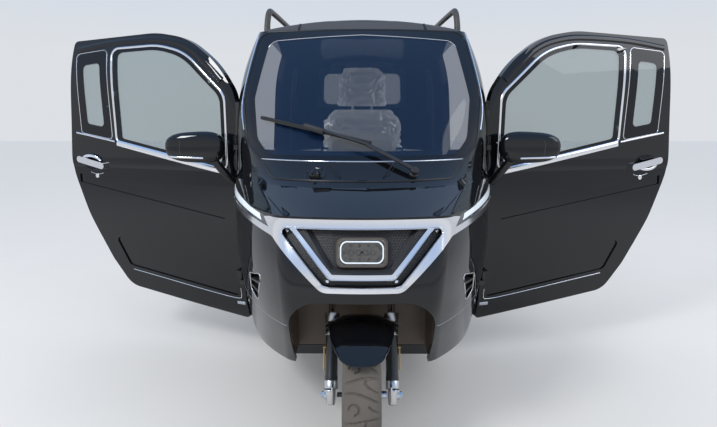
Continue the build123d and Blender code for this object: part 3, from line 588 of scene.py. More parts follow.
def make_headlamp():
    housing = Shape()
    lamp_rings(housing, [(70, 36, 16, -26), (72, 38, 17, -6), (74, 41, 18, -3), (79, 46, 20, -3), (81.5, 48, 22, -6),
                         (81.5, 48, 22, -56)])
    housing.piece("headlamp_housing", "chassis", BRONZE, "grey_plastic", replaces=["centre_headlamp"])

    reflector = Shape()
    columns, levels = 10, 5
    for c in range(columns):
        for r in range(levels):
            x0 = -70 + 140 * c / columns
            x1 = x0 + 140 / columns
            z0 = -36 + 72 * r / levels
            z1 = z0 + 72 / levels
            mid = ((x0 + x1) / 2, (z0 + z1) / 2)
            depth = -30 + 8 * hypot(mid[0] / 70, mid[1] / 36)
            tip = lamp_point(mid[0], mid[1], depth + (4 if (c + r) % 2 else -3))
            corner = [lamp_point(x, z, depth) for x, z in ((x0, z0), (x1, z0), (x1, z1), (x0, z1))]
            reflector.add(corner + [tip], [(0, 1, 4), (1, 2, 4), (2, 3, 4), (3, 0, 4)])
    for x in (-34, -12, 12, 34):
        reflector.lathe([(8, -2), (8, 4), (6, 6), (5, 3), (0.3, 2.5)], lamp_point(x, 0, -24), LAMP_OUT, 20)
    reflector.piece("headlamp_reflector", "chassis", SMOKE, "chrome", smooth=False)

    ring = Shape()
    loop = []
    for p in resample(rounded_box_loop(66, 33, 15), 96):
        loop.append(lamp_point(p.x * (1 - 0.07 * max(0, abs(p.y) - 14) / 19), p.y, -9))
    tube = [(2.2 * cos(2 * pi * k / 10), 2.2 * sin(2 * pi * k / 10)) for k in range(10)]
    ring.sweep(loop, tube, [LAMP_OUT] * len(loop), closed=True)
    ring.piece("headlamp_ring", "chassis", LIGHT_GUIDE, "clear_lens")

    lens = Shape()
    lamp_rings(lens, [(73.5, 40.5, 18, -4), (73.5, 40.5, 18, -1.5), (66, 34, 14, 0.6), (50, 24, 10, 2.0),
                      (20, 10, 6, 2.6), (4, 2, 1, 2.7)])
    lens.piece("headlamp_lens", "chassis", CLEAR_LENS, "clear_lens")


# Side lamps: a ribbed light guide along the upper edge; vents: bright rims; a bright line along the panel seam below
# them, which is a painted highlight
LAMP_TREE = surface("side_lamps", "front_body")
GUIDE_LOW = [(338, 818), (440, 836), (550, 855)]
GUIDE_HIGH = [(346, 838), (442, 858), (548, 879)]
VENT_OUTLINE = [(341, 639, 9), (407, 606, 9), (408, 535, 9), (374, 508, 9)]


def make_flank_details():
    guides = Shape()
    rims = Shape()
    for side in (-1, 1):
        low = spaced(GUIDE_LOW, 3)
        high = [Vector(GUIDE_HIGH[0]).lerp(Vector(GUIDE_HIGH[2]), k / (len(low) - 1)) for k in range(len(low))]
        rows = []
        for k, (a, b) in enumerate(zip(low, high)):
            lift = 1.8 if k % 4 else 0.9
            rows.append([on_front(side * p.x, p.y, proud, LAMP_TREE)[0]
                         for p, proud in ((a, 0.1), (a, lift), (a.lerp(b, 0.5), lift + 0.8), (b, lift), (b, 0.1))])
        guides.grid(rows)
        loop = rounded([(side * x, z, r) for x, z, r in VENT_OUTLINE], 4)
        front_strip(rims, loop, bead(5, 2.2), closed=True)
        # A bright alloy line along the panel seam: a painted highlight of the seam's edge, where the real seam is a
        # dark gap.
        seam = [(side * 246, 486), (side * 300, 478), (side * 370, 472), (side * 440, 470), (side * 490, 474)]
        front_strip(rims, spaced(soft_line(seam)), bead(1.8, 0.7))
    guides.piece("side_lamp_guides", "chassis", LIGHT_GUIDE, "clear_lens")
    rims.piece("vent_rims_seam_highlight", "chassis", ALLOY, "chrome")


# Wiper
def make_wiper():
    arm = Shape()
    pivot = on_front(186, 957, 0)
    arm.lathe([(17, -1), (17, 4), (13, 7), (12, 12), (16, 14), (16, 22), (12, 26), (0.4, 27)], pivot[0], pivot[1], 28)
    path = [on_front(190, 955, 19), on_front(150, 975, 24), on_front(90, 1004, 28), on_front(20, 1040, 30)]
    points = soft_line([p[0] for p in path], 2)
    arm.sweep(points, [(-9, -3), (-9, 2), (-6, 4.5), (6, 4.5), (9, 2), (9, -3)], [path[0][1]] * len(points))
    hook = [on_front(26, 1037, 33), on_front(-90, 1075, 31), on_front(-190, 1108, 27)]
    points = soft_line([p[0] for p in hook], 2)
    arm.sweep(points, [(-5, -3), (-5, 3), (5, 3), (5, -3)], [hook[1][1]] * len(points))
    clip = on_front(-176, 1103, 22)
    turn = (hook[2][0] - hook[0][0]).to_track_quat("X", "Z").to_matrix().to_4x4()
    arm.block((92, 30, 22), Matrix.Translation(clip[0]) @ turn, 6)
    arm.piece("wiper_arm", "chassis", PLASTIC, "matte_black", replaces=["wiper"])

    blade = Shape()
    line = [on_front(x, 1158 - 102 * (x + 420) / 450, 14) for x in range(-398, 31, 14)]
    rows = [p[0] for p in line]
    blade.sweep(rows, [(-8, -1), (-7, 4), (-2, 8), (3, 6), (8, 0), (1.5, -4), (1, -11), (-1, -11), (-1.5, -4)],
                [p[1] for p in line])
    for x in (-392, 24):
        spot = on_front(x, 1158 - 102 * (x + 420) / 450, 15)
        blade.block((20, 19, 13), Matrix.Translation(spot[0]) @ turn, 3)
    blade.piece("wiper_blade", "chassis", RUBBER, "matte_black")


# Doors. Their details are laid out with the door shut and swung to where it stands.
PANE_OUTLINE = [
    (-165, 928, 26), (472, 1053, 22), (503, 1494, 34), (230, 1498, 450), (68, 1456, 320), (-150, 1262, 90),
]
PANE_CLEAR = [
    (-146, 948, 24), (444, 1064, 20), (474, 1478, 34), (230, 1484, 440), (76, 1441, 310), (-133, 1256, 84),
]
PANE_CHROME = [
    (-172, 923, 26), (478, 1050, 24), (510, 1500, 38), (230, 1505, 455), (64, 1463, 325), (-157, 1266, 94),
]
QUARTER_OUTLINE = [(508, 1061, 16), (703, 1094, 16), (733, 1478, 22), (545, 1493, 22)]
QUARTER_CLEAR = [(556, 1118, 18), (664, 1136, 18), (688, 1424, 22), (582, 1434, 22)]
QUARTER_CHROME = [(504, 1057, 16), (707, 1090, 16), (738, 1483, 24), (541, 1498, 24)]
BELT_LINE = [(-168, 914), (150, 976), (472, 1040)]
BELT_REAR = [(490, 1047), (600, 1066), (742, 1090)]
# Line of the lower recess's edge, where a chrome line stands as a painted highlight.
RECESS_EDGE_HIGHLIGHT = [(-190, 350), (-192, 306), (-178, 291), (0, 314), (240, 350), (460, 382)]
FRAME_CROWN = [(740, 1502), (620, 1519), (508, 1531), (300, 1536), (190, 1530), (46, 1491), (-56, 1408), (-140, 1330)]


def door_helpers(side):
    """The function that lays points on the door, and its swing."""
    name = SIDE_NAMES[side]
    pivot = mm(side * HINGE_X, HINGE_Y, 0)
    swing = Matrix.Translation(pivot) @ Matrix.Rotation(radians(-side * DOOR_OPEN[side]), 4, "Z") @ Matrix.Translation(-pivot)
    tree = surface(f"door_{name}_shell", f"door_{name}_glass")
    into = (swing.to_3x3() @ Vector((-side, 0, 0))).normalized()

    def spot(y, z, proud=0.0):
        start = swing @ mm(side * 1300, y, z)
        return cast(tree, start, into, proud)

    return name, swing, spot


def door_strip(shape, line, profile, spot, closed=False):
    found = [spot(p[0], p[1]) for p in line]
    found = [f for f in found if f]
    shape.sweep([f[0] for f in found], profile, [f[1] for f in found], closed)


def make_door(side):
    name, swing, spot = door_helpers(side)
    body = f"door_{name}"

    def flat(p, proud):
        found = spot(p[0], p[1], proud)
        return found[0] if found else swing @ mm(side * 560, p[0], p[1])

    chrome = Shape()
    door_strip(chrome, rounded(PANE_CHROME, 9), bead(13, 5), spot, closed=True)
    door_strip(chrome, spaced(soft_line(BELT_LINE), 12), bead(31, 8), spot)
    door_strip(chrome, spaced(soft_line(BELT_REAR), 12), bead(9, 4), spot)
    door_strip(chrome, rounded(QUARTER_CHROME, 9), bead(3.5, 2.2), spot, closed=True)
    # A chrome line along the lower recess's edge: a painted highlight where the recess edge catches light.
    door_strip(chrome, spaced(soft_line(RECESS_EDGE_HIGHLIGHT), 10), bead(3.5, 1.6), spot)
    chrome.piece(f"{body}_window_trim", body, CHROME, "chrome")

    border = Shape()
    band(border, rounded(PANE_OUTLINE), rounded(PANE_CLEAR), flat, rings=2, count=150)
    band(border, rounded(QUARTER_OUTLINE), rounded(QUARTER_CLEAR), flat, rings=2, count=110)
    border.piece(f"{body}_window_border", body, FRIT, "matte_black")

    cup = Shape()
    centre = spot(HINGE_Y + 868, 944, 0.2)
    normal = centre[1]
    along = (swing.to_3x3() @ Vector((0, 1, 0))).normalized()
    up = normal.cross(along).normalized()
    rings = []
    for share, proud in ((1.0, 0.0), (1.0, 2.2), (0.93, 2.8), (0.88, 0.8), (0.4, 0.5), (0.02, 0.5)):
        ring = []
        for k in range(44):
            a = 2 * pi * k / 44
            p = centre[0] + (along * 62 * cos(a) + up * 40 * sin(a)) * share * 0.001
            ring.append(p + normal * proud * 0.001)
        rings.append(ring)
    cup.grid(rings, around=True)
    cup.piece(f"{body}_handle_cup", body, FRIT, "matte_black")

    key = Shape()
    lock = spot(HINGE_Y + 842, 872, 0)
    key.lathe([(11, -0.5), (11, 1.6), (9, 3), (3, 3.2), (0.3, 2.4)], lock[0], lock[1], 24)
    wave = [(HINGE_Y + 800 + 12 * k, 888 - 8 * sin(k * 0.5)) for k in range(8)]
    door_strip(key, wave, bead(3, 1.6), spot)
    key.piece(f"{body}_lock", body, CHROME, "chrome")

    bow = Shape()
    points, ups = [], []
    for k in range(25):
        a = radians(188 + 164 * k / 24)
        lift = 4 + 9 * sin(pi * k / 24)
        points.append(centre[0] + (along * 60 * cos(a) + up * 31 * sin(a) + normal * lift) * 0.001)
        ups.append(normal)
    bow.sweep(points, [(7 * cos(2 * pi * k / 12), 3.5 * sin(2 * pi * k / 12)) for k in range(12)], ups)
    bow.piece(f"{body}_handle_bow", body, CHROME, "chrome")

    crown = Shape()
    door_strip(crown, spaced(soft_line(FRAME_CROWN), 12), bead(30, 6, 10), spot)
    crown.piece(f"{body}_frame_crown", body, PAINT, "gloss_black")

    plate = Shape()
    foot, out = spot(HINGE_Y + 36, 272)
    across = out.cross(along).normalized()
    turn = Matrix((across.cross(out), across, out)).transposed().to_4x4()
    plate.block((46, 17, 7), Matrix.Translation(foot) @ turn, 2.5)
    plate.piece(f"{body}_latch_plate", body, ZINC, "chrome")

    make_mirror(side, name, swing)
    make_door_card(side, name, swing)


MIRROR_LOCAL = (672, -75, 1034)
MIRROR_TURN = 20


def make_mirror(side, name, swing):
    """A rounded housing on its arm, with the bright strip low on it and the glass on the door's side."""
    body = f"door_{name}"
    place = swing @ Matrix.Translation(mm(side * MIRROR_LOCAL[0], MIRROR_LOCAL[1], MIRROR_LOCAL[2])) @ Matrix.Rotation(
        radians(-side * MIRROR_TURN), 4, "Z")

    def power(value, exponent):
        return abs(value) ** exponent * (1 if value >= 0 else -1)

    def egg(a, b, grow=0.0):
        """A point of the housing: a goes round it, b from the low end to the high end."""
        long = power(cos(b), 0.62) * power(cos(a), 0.72) * (132 + grow)
        deep = power(cos(b), 0.62) * power(sin(a), 0.8) * (42 + grow)
        high = power(sin(b), 0.78) * (67 + grow)
        taper = 1 - 0.1 * long / 132
        return Vector((side * deep, long, high * taper - (4 if high < 0 else 0) * 0.5))

    housing = Shape()
    rows = []
    for j in range(29):
        b = radians(-89.5 + 179 * j / 28)
        rows.append([place @ (egg(2 * pi * k / 56, b) * 0.001) for k in range(56)])
    housing.grid(rows, around=True)
    housing.faces.append(tuple(range(56))[::-1])
    housing.faces.append(tuple(28 * 56 + k for k in range(56)))
    arm = [(HINGE_X - 3, HINGE_Y + 22, 872), (HINGE_X + 26, HINGE_Y + 36, 900), (HINGE_X + 58, HINGE_Y + 58, 948),
           (HINGE_X + 80, HINGE_Y + 84, 992)]
    line = soft_line([swing @ mm(side * x, y, z) for x, y, z in arm], 2)
    oval = [(19 * cos(2 * pi * k / 16), 13 * sin(2 * pi * k / 16)) for k in range(16)]
    housing.sweep(line, oval, [(swing.to_3x3() @ Vector((side, 0, 0.3))).normalized()] * len(line))
    housing.piece(f"{body}_mirror_housing", body, PAINT, "gloss_black", replaces=[f"{body}_mirror"])

    strip = Shape()
    points, ups = [], []
    for k in range(48):
        a = radians(-20 + 125 * k / 47)
        here = egg(a, radians(-36))
        ahead = egg(a, radians(-36), 4)
        points.append(place @ (here * 0.001))
        ups.append((place.to_3x3() @ (ahead - here)).normalized())
    strip.sweep(points, bead(10, 3), ups)
    strip.piece(f"{body}_mirror_strip", body, CHROME, "chrome")
    # A grey line down the housing along its seam: a painted highlight of the seam.
    seam = Shape()
    points, ups = [], []
    for k in range(20):
        b = radians(-24 + 44 * k / 19)
        here = egg(radians(72), b)
        ahead = egg(radians(72), b, 4)
        points.append(place @ (here * 0.001))
        ups.append((place.to_3x3() @ (ahead - here)).normalized())
    seam.sweep(points, bead(2, 0.8), ups)
    seam.piece(f"{body}_mirror_seam_highlight", body, GREY, "grey_plastic")

    glass = Shape()
    loop = rounded([(104, -46, 34), (104, 46, 40), (-104, 46, 40), (-104, -46, 34)], 6)
    rows = []
    for share, off in ((1.0, -30.0), (1.0, -43.6), (0.97, -44.4), (0.5, -44.6), (0.02, -44.6)):
        rows.append([place @ mm(side * off, p.x * share, p.y * share) for p in loop])
    glass.grid(rows, around=True)
    glass.piece(f"{body}_mirror_glass", body, MIRROR, "chrome")


CARD_OUTLINE = [(-150, 330, 60), (430, 400, 90), (560, 640, 160), (660, 880, 60), (-150, 850, 60)]


def make_door_card(side, name, swing):
    """The trim on the inner side of the door, with its pull."""
    body = f"door_{name}"
    tree = surface(f"door_{name}_shell", f"door_{name}_glass")
    outwards = (swing.to_3x3() @ Vector((side, 0, 0))).normalized()

    def spot(p, proud):
        start = swing @ mm(side * 300, p[0], p[1])
        found = cast(tree, start, outwards, proud)
        return found[0]

    card = Shape()
    loop = rounded(CARD_OUTLINE, 14)
    middle = Vector((sum(p.x for p in loop) / len(loop), sum(p.y for p in loop) / len(loop)))
    rows = []
    for share, proud in ((1.0, 0.1), (1.0, 3.5), (0.98, 5.0), (0.8, 5.0), (0.78, 3.8), (0.6, 3.8), (0.3, 3.8), (0.02, 3.8)):
        rows.append([spot(middle.lerp(p, share), proud) for p in loop])
    card.grid(rows, around=True)
    card.piece(f"{body}_card", body, PLASTIC, "matte_black")
    pull = Shape()
    line = [(250, 720), (256, 735), (290, 745), (400, 765), (432, 770), (440, 758)]
    path = [spot(Vector(p), 6 + 30 * min(1, 2.2 * min(k, 5 - k) / 5)) for k, p in enumerate(line)]
    points = soft_line(path, 2)
    oval = [(9 * cos(2 * pi * k / 12), 7 * sin(2 * pi * k / 12)) for k in range(12)]
    pull.sweep(points, oval, [-outwards] * len(points))
    pull.piece(f"{body}_pull", body, GREY, "grey_plastic")


# Running gear
FORK_AXIS = Vector((0, sin(radians(RAKE)), cos(radians(RAKE))))
FORK_FORE = Vector((0, cos(radians(RAKE)), -sin(radians(RAKE))))


def leg_point(x, back, up):
    """A point beside the fork legs: across, behind the legs' line, and up along it, in millimetres."""
    return mm(x, FRONT_AXLE_Y, FRONT_RADIUS) + (FORK_FORE * back + FORK_AXIS * up) * 0.001


def make_fork():
    stanchions, sliders, sleeves, lugs = Shape(), Shape(), Shape(), Shape()
    for side in (-1, 1):
        foot = leg_point(side * LEG_X, 0, 0)
        stanchions.lathe([(13, 215), (13, 326)], foot, FORK_AXIS)
        sliders.lathe([(20, 26), (22, 30), (22, 60), (21, 64), (21, 200), (22, 204), (22, 222), (19, 224)], foot,
                      FORK_AXIS)
        sleeves.lathe([(19, 222), (20, 224), (26, 268), (26, 271), (23, 271), (22, 262), (14, 258), (13.2, 258)], foot,
                      FORK_AXIS)
        sleeves.lathe([(23.2, 196), (24, 197), (24, 205), (23.2, 206)], foot, FORK_AXIS)
        at = Matrix.Translation(mm(side * LEG_X, FRONT_AXLE_Y, FRONT_RADIUS))
        lugs.block((29, 48, 58), at, 8, 3)
        lugs.lathe([(21, 18), (23, 20), (23, 44), (21, 47)], foot, FORK_AXIS)
        lugs.block((7, 26, 30), at @ Matrix.Translation(mm(side * -6, -14, 26)), 2)
        lugs.lathe([(7, 0), (7, 7), (5.5, 8.5), (3, 8.5), (3, 5), (0.3, 5)],
                   mm(side * (LEG_X + 14), FRONT_AXLE_Y - 10, FRONT_RADIUS + 20), (side, 0, 0), 20)
    stanchions.piece("fork_stanchions", "steering", CHROME, "fork_alloy", replaces=["fork"])
    sliders.piece("fork_sliders", "steering", STEEL, "frame_steel")
    sleeves.piece("fork_sleeves", "steering", ALLOY, "fork_alloy")
    lugs.piece("fork_lugs", "steering", ALLOY, "fork_alloy")

    crown = Shape()
    turn = Matrix((LAMP_X, FORK_FORE, FORK_AXIS)).transposed().to_4x4()
    crown.block((2 * LEG_X + 44, 74, 32), Matrix.Translation(leg_point(0, 17.5, 341.5)) @ turn, 12, 3)
    for side in (-1, 1):
        crown.lathe([(21, 322), (22, 326), (22, 357), (19, 360), (0.3, 360)], leg_point(side * LEG_X, 0, 0), FORK_AXIS)
    crown.piece("fork_crown", "steering", STEEL, "frame_steel")

    nuts = Shape()
    for side in (-1, 1):
        start = mm(side * (LEG_X + 20), FRONT_AXLE_Y, FRONT_RADIUS)
        nuts.lathe([(15, -6), (15, 2.4), (8, 2.5)], start, (side, 0, 0), 24)
        nuts.lathe([(11.5, 2.4), (11.5, 10), (10, 11.5), (5.2, 11.6), (5.2, 15), (0.3, 15.5)], start, (side, 0, 0), 6)
    nuts.lathe([(9, 0), (12, 1), (12, 23), (9, 24)], mm(60.5, FRONT_AXLE_Y, FRONT_RADIUS), (1, 0, 0), 24)
    nuts.piece("axle_nuts", "steering", ZINC, "fork_alloy")

    brackets = Shape()
    for side in (-1, 1):
        for y, z, height in ((-889, 352, 42), (-903, 318, 40)):
            place = Matrix.Translation(mm(side * 131, y, z)) @ Matrix.Rotation(radians(-RAKE), 4, "X")
            brackets.block((5, 13, height), place, 1.5)
        brackets.block((16, 14, 5), Matrix.Translation(mm(side * 127, -886, 372)), 1.5)
    brackets.piece("fender_brackets", "steering", TAN, "fork_alloy")


FENDER_SECTION = [(0, 268), (30, 267.4), (60, 265), (66, 263.5), (80, 258.5), (100, 249), (119, 238)]
FENDER_LOW = [(0, 429), (40, 431), (62, 440), (80, 456), (100, 476), (119, 500)]
FENDER_HIGH = [(0, 47), (70, 47), (76, 30), (119, 22)]


def between(table, x):
    """The value at x of a table of (x, value) rows."""
    for (ax, av), (bx, bv) in zip(table, table[1:]):
        if x <= bx:
            return av + (bv - av) * (x - ax) / (bx - ax)
    return table[-1][1]


def make_fender():
    """A smooth dome over the wheel between the fork legs, with a rolled edge."""
    fender = Shape()
    layers = []
    for wall in (0.0, 4.5):
        rows = []
        for j in range(49):
            x = -119 + 238 * j / 48
            radius = between(FENDER_SECTION, abs(x)) - wall
            rise = min(1.0, (between(FENDER_LOW, abs(x)) - FRONT_RADIUS) / radius)
            low = acos(rise)
            back = radians(between(FENDER_HIGH, abs(x)))
            row = []
            for k in range(41):
                a = low - (low + back) * k / 40
                row.append(mm(x, FRONT_AXLE_Y - radius * sin(a), FRONT_RADIUS + radius * cos(a)))
            rows.append(row)
        layers.append(rows)
    outer, inner = layers
    fender.grid(outer)
    fender.grid([row[::-1] for row in inner])
    rim = ([row[0] for row in outer] + outer[-1][1:-1] + [row[-1] for row in reversed(outer)] + outer[0][-2:0:-1],
           [row[0] for row in inner] + inner[-1][1:-1] + [row[-1] for row in reversed(inner)] + inner[0][-2:0:-1])
    fender.grid(list(rim), around=True)
    middle = mm(0, FRONT_AXLE_Y, FRONT_RADIUS)
    edge = [p for p in rim[0]]
    tube = [(2.6 * cos(2 * pi * k / 8), 2.6 * sin(2 * pi * k / 8)) for k in range(8)]
    fender.sweep(edge, tube, [(p - middle).normalized() for p in edge], closed=True)
    for side in (-1, 1):
        spot = leg_point(side * (LEG_X - 26), 0, 248)
        turn = Matrix((LAMP_X, FORK_FORE, FORK_AXIS)).transposed().to_4x4()
        fender.block((24, 30, 24), Matrix.Translation(spot) @ turn, 5, 2)
    fender.piece("fender_dome", "steering", PAINT, "gloss_black", replaces=["front_fender"])


GRIP_POINTS = ((290, -250, 1002), (176, -284, 1010))


def make_handlebar():
    grips = Shape()
    for side in (-1, 1):
        outer, inner = (mm(side * x, y, z) for x, y, z in GRIP_POINTS)
        run = (inner - outer).normalized()
        profile = [(15, -2), (17, 0)]
        for k in range(12):
            profile.extend([(16.5, 6 + 8 * k), (14.8, 8 + 8 * k)])
        profile.extend([(17, 106), (18, 110), (15, 112)])
        grips.lathe(profile, outer, run, 24)
    grips.piece("handlebar_grips", "steering", CREAM_PAINTED_GLOW, "grey_plastic")

    levers = Shape()
    for side in (-1, 1):
        path = soft_line([mm(side * x, y, z) for x, y, z in
                          ((150, -318, 1008), (185, -318, 1000), (235, -300, 995), (292, -282, 990))], 2)
        levers.sweep(path, [(-7, -3), (-7, 3), (7, 3), (7, -3)], [Vector((0, 0, 1))] * len(path))
        levers.block((36, 30, 34), Matrix.Translation(mm(side * 152, -300, 1010)) @ Matrix.Rotation(
            radians(side * 16), 4, "Z"), 7, 3)
    levers.piece("brake_levers", "steering", ALLOY, "fork_alloy")

    pod = Shape()
    rows = []
    for y, z, w, h in ((-500, 1030, 78, 14), (-492, 1040, 120, 34), (-455, 1048, 138, 46), (-410, 1050, 132, 46),
                       (-388, 1046, 96, 30)):
        loop = resample(rounded([(w, -h, h * 0.8), (w, h, h * 0.8), (-w, h, h * 0.8), (-w, -h, h * 0.8)], 6), 56)
        rows.append([mm(p.x, y, z + p.y) for p in loop])
    pod.grid(rows, around=True)
    pod.faces.append(tuple(range(56))[::-1])
    pod.faces.append(tuple(4 * 56 + k for k in range(56)))
    pod.piece("instrument_pod", "steering", CREAM_PAINTED_GLOW, "grey_plastic")


def tyre_profile(radius, width):
    """Outer section of a tyre as (x, r) points from bead to bead, fine across the tread."""
    half = width / 2
    shoulder = (half - 12, radius - 16)
    side_mid = (half, (radius + RIM_RADIUS) / 2)
    bead_point = (half - 14, RIM_RADIUS)

    def arc(a, b, c, count):
        """Points on the circle through three points."""
        ax, ay = a
        bx, by = b
        cx, cy = c
        d = 2 * (ax * (by - cy) + bx * (cy - ay) + cx * (ay - by))
        ux = ((ax * ax + ay * ay) * (by - cy) + (bx * bx + by * by) * (cy - ay) + (cx * cx + cy * cy) * (ay - by)) / d
        uy = ((ax * ax + ay * ay) * (cx - bx) + (bx * bx + by * by) * (ax - cx) + (cx * cx + cy * cy) * (bx - ax)) / d
        start = Vector((ax - ux, ay - uy))
        end = Vector((cx - ux, cy - uy))
        turn = start.angle_signed(end)
        points = []
        for k in range(count + 1):
            t = -turn * k / count
            points.append((ux + start.x * cos(t) - start.y * sin(t), uy + start.x * sin(t) + start.y * cos(t)))
        return points

    tread = arc((-shoulder[0], shoulder[1]), (0, radius), shoulder, 50)
    right = arc(shoulder, side_mid, bead_point, 14)
    left = [(-x, r) for x, r in reversed(right)]
    return left[:-1] + tread + right[1:]


GROOVES = [
    [(-60, 8), (-44, 1), (-22, 0), (0, 6), (26, 17), (60, 34)],
    [(60, 4), (40, -4), (20, -16), (10, -28), (14, -40), (30, -46)],
    [(-60, 94), (-34, 90), (-6, 82), (20, 78), (60, 76)],
    [(60, 60), (44, 56), (30, 48), (22, 40)],
]
RING_AT = (-22, 48)
RING_R = 15
GROOVE_HALF = 2.6
PITCH = 123.0


def groove_depth(x, s):
    """How deep the tread is cut at a width and a distance round the tyre."""
    s = s % PITCH
    best = 99.0
    for line in GROOVES:
        for (ax, az), (bx, bz) in zip(line, line[1:]):
            for shift in (-PITCH, 0, PITCH):
                dx, dz = bx - ax, bz - az
                t = max(0, min(1, ((x - ax) * dx + (s - az - shift) * dz) / (dx * dx + dz * dz)))
                best = min(best, hypot(x - ax - t * dx, s - az - shift - t * dz))
    for shift in (-PITCH, 0, PITCH):
        dx, dz = x - RING_AT[0], s - RING_AT[1] - shift
        if not (dz > 0 and dx < 0):
            best = min(best, abs(hypot(dx, dz) - RING_R))
    return max(0.0, min(1.0, (GROOVE_HALF + 1.2 - best) / 1.6))


def make_tyre(name, body, centre, radius, width, steps):
    profile = tyre_profile(radius, width)
    pitches = round(2 * pi * radius / PITCH)
    table = {}
    per = steps // pitches
    steps = per * pitches
    rows = []
    for k in range(steps):
        a = 2 * pi * k / steps
        s = PITCH * (k % per) / per
        row = []
        for j, (x, r) in enumerate(profile):
            cut = 0.0
            if r > radius - 26:
                key = (k % per, j)
                if key not in table:
                    table[key] = groove_depth(x * 60 / (width / 2), s) * min(1, (r - radius + 26) / 8)
                cut = table[key] * 5.0
            row.append(centre + mm(x, (r - cut) * cos(a), (r - cut) * sin(a)))
        half = width / 2
        for x, r in ((half - 22, RIM_RADIUS), (half - 26, radius - 34), (26 - half, radius - 34), (22 - half, RIM_RADIUS)):
            row.append(centre + mm(x, r * cos(a), r * sin(a)))
        rows.append(row)
    tyre = Shape()
    tyre.grid(rows, around=True, along=True)
    tyre.piece(name + "_treaded", body, TYRE, "tyre_rubber", replaces=[name])


def make_hubs():
    """Nuts and caps on the rear wheels."""
    for side in (-1, 1):
        caps = Shape()
        centre = mm(side * REAR_X, REAR_AXLE_Y, REAR_RADIUS)
        out = Vector((side, 0, 0))
        caps.lathe([(34, 44), (34, 52), (30, 58), (14, 60), (0.3, 60)], centre, out, 36)
        for k in range(4):
            a = radians(45 + 90 * k)
            caps.lathe([(8, 2), (8, 12), (6.5, 14), (0.3, 14)],
                       centre + mm(0, 62 * cos(a), 62 * sin(a)), out, 6)
        caps.piece(f"rear_wheel_{SIDE_NAMES[side]}_nuts", f"rear_wheel_{SIDE_NAMES[side]}", ZINC, "rim_alloy")


# Seats
WRAP_ROWS = 44
WRAP_COLUMNS = 120


def solid_of(parts, voxel):
    """One closed mesh around several rounded blocks, remeshed."""
    shape = Shape()
    for size, place, bevel in parts:
        shape.block(size, place, bevel, 4)
    mesh = bpy.data.meshes.new("soft")
    mesh.from_pydata([tuple(p) for p in shape.points], [], shape.faces)
    obj = bpy.data.objects.new("soft", mesh)
    bpy.context.scene.collection.objects.link(obj)
    remesh = obj.modifiers.new("remesh", "REMESH")
    remesh.mode = "VOXEL"
    remesh.voxel_size = voxel
    bpy.context.view_layer.update()
    found = bpy.data.meshes.new_from_object(obj.evaluated_get(bpy.context.evaluated_depsgraph_get()))
    bpy.data.objects.remove(obj)
    return found


def puff(mesh, cap, pressure=4.0):
    """Cloth under pressure, its movement capped, applied to the mesh."""
    obj = bpy.data.objects.new("puffed", mesh)
    bpy.context.scene.collection.objects.link(obj)
    cloth = obj.modifiers.new("cloth", "CLOTH")
    cloth.settings.use_pressure = True
    cloth.settings.uniform_pressure_force = pressure
    cloth.settings.effector_weights.gravity = 0.0
    start = [v.co.copy() for v in mesh.vertices]
    for step in range(1, 21):
        bpy.context.scene.frame_set(step)
    shaped = obj.evaluated_get(bpy.context.evaluated_depsgraph_get()).to_mesh()
    places = []
    for before, vertex in zip(start, shaped.vertices):
        move = vertex.co - before
        if move.length > cap * 0.001:
            move = move.normalized() * cap * 0.001
        places.append(before + move)
    obj.to_mesh_clear()
    bpy.data.objects.remove(obj)
    bpy.context.scene.frame_set(1)
    for vertex, place in zip(mesh.vertices, places):
        vertex.co = place
    return mesh


def at(x, y, z, tilt=0.0):
    return Matrix.Translation(mm(x, y, z)) @ Matrix.Rotation(radians(tilt), 4, "X")


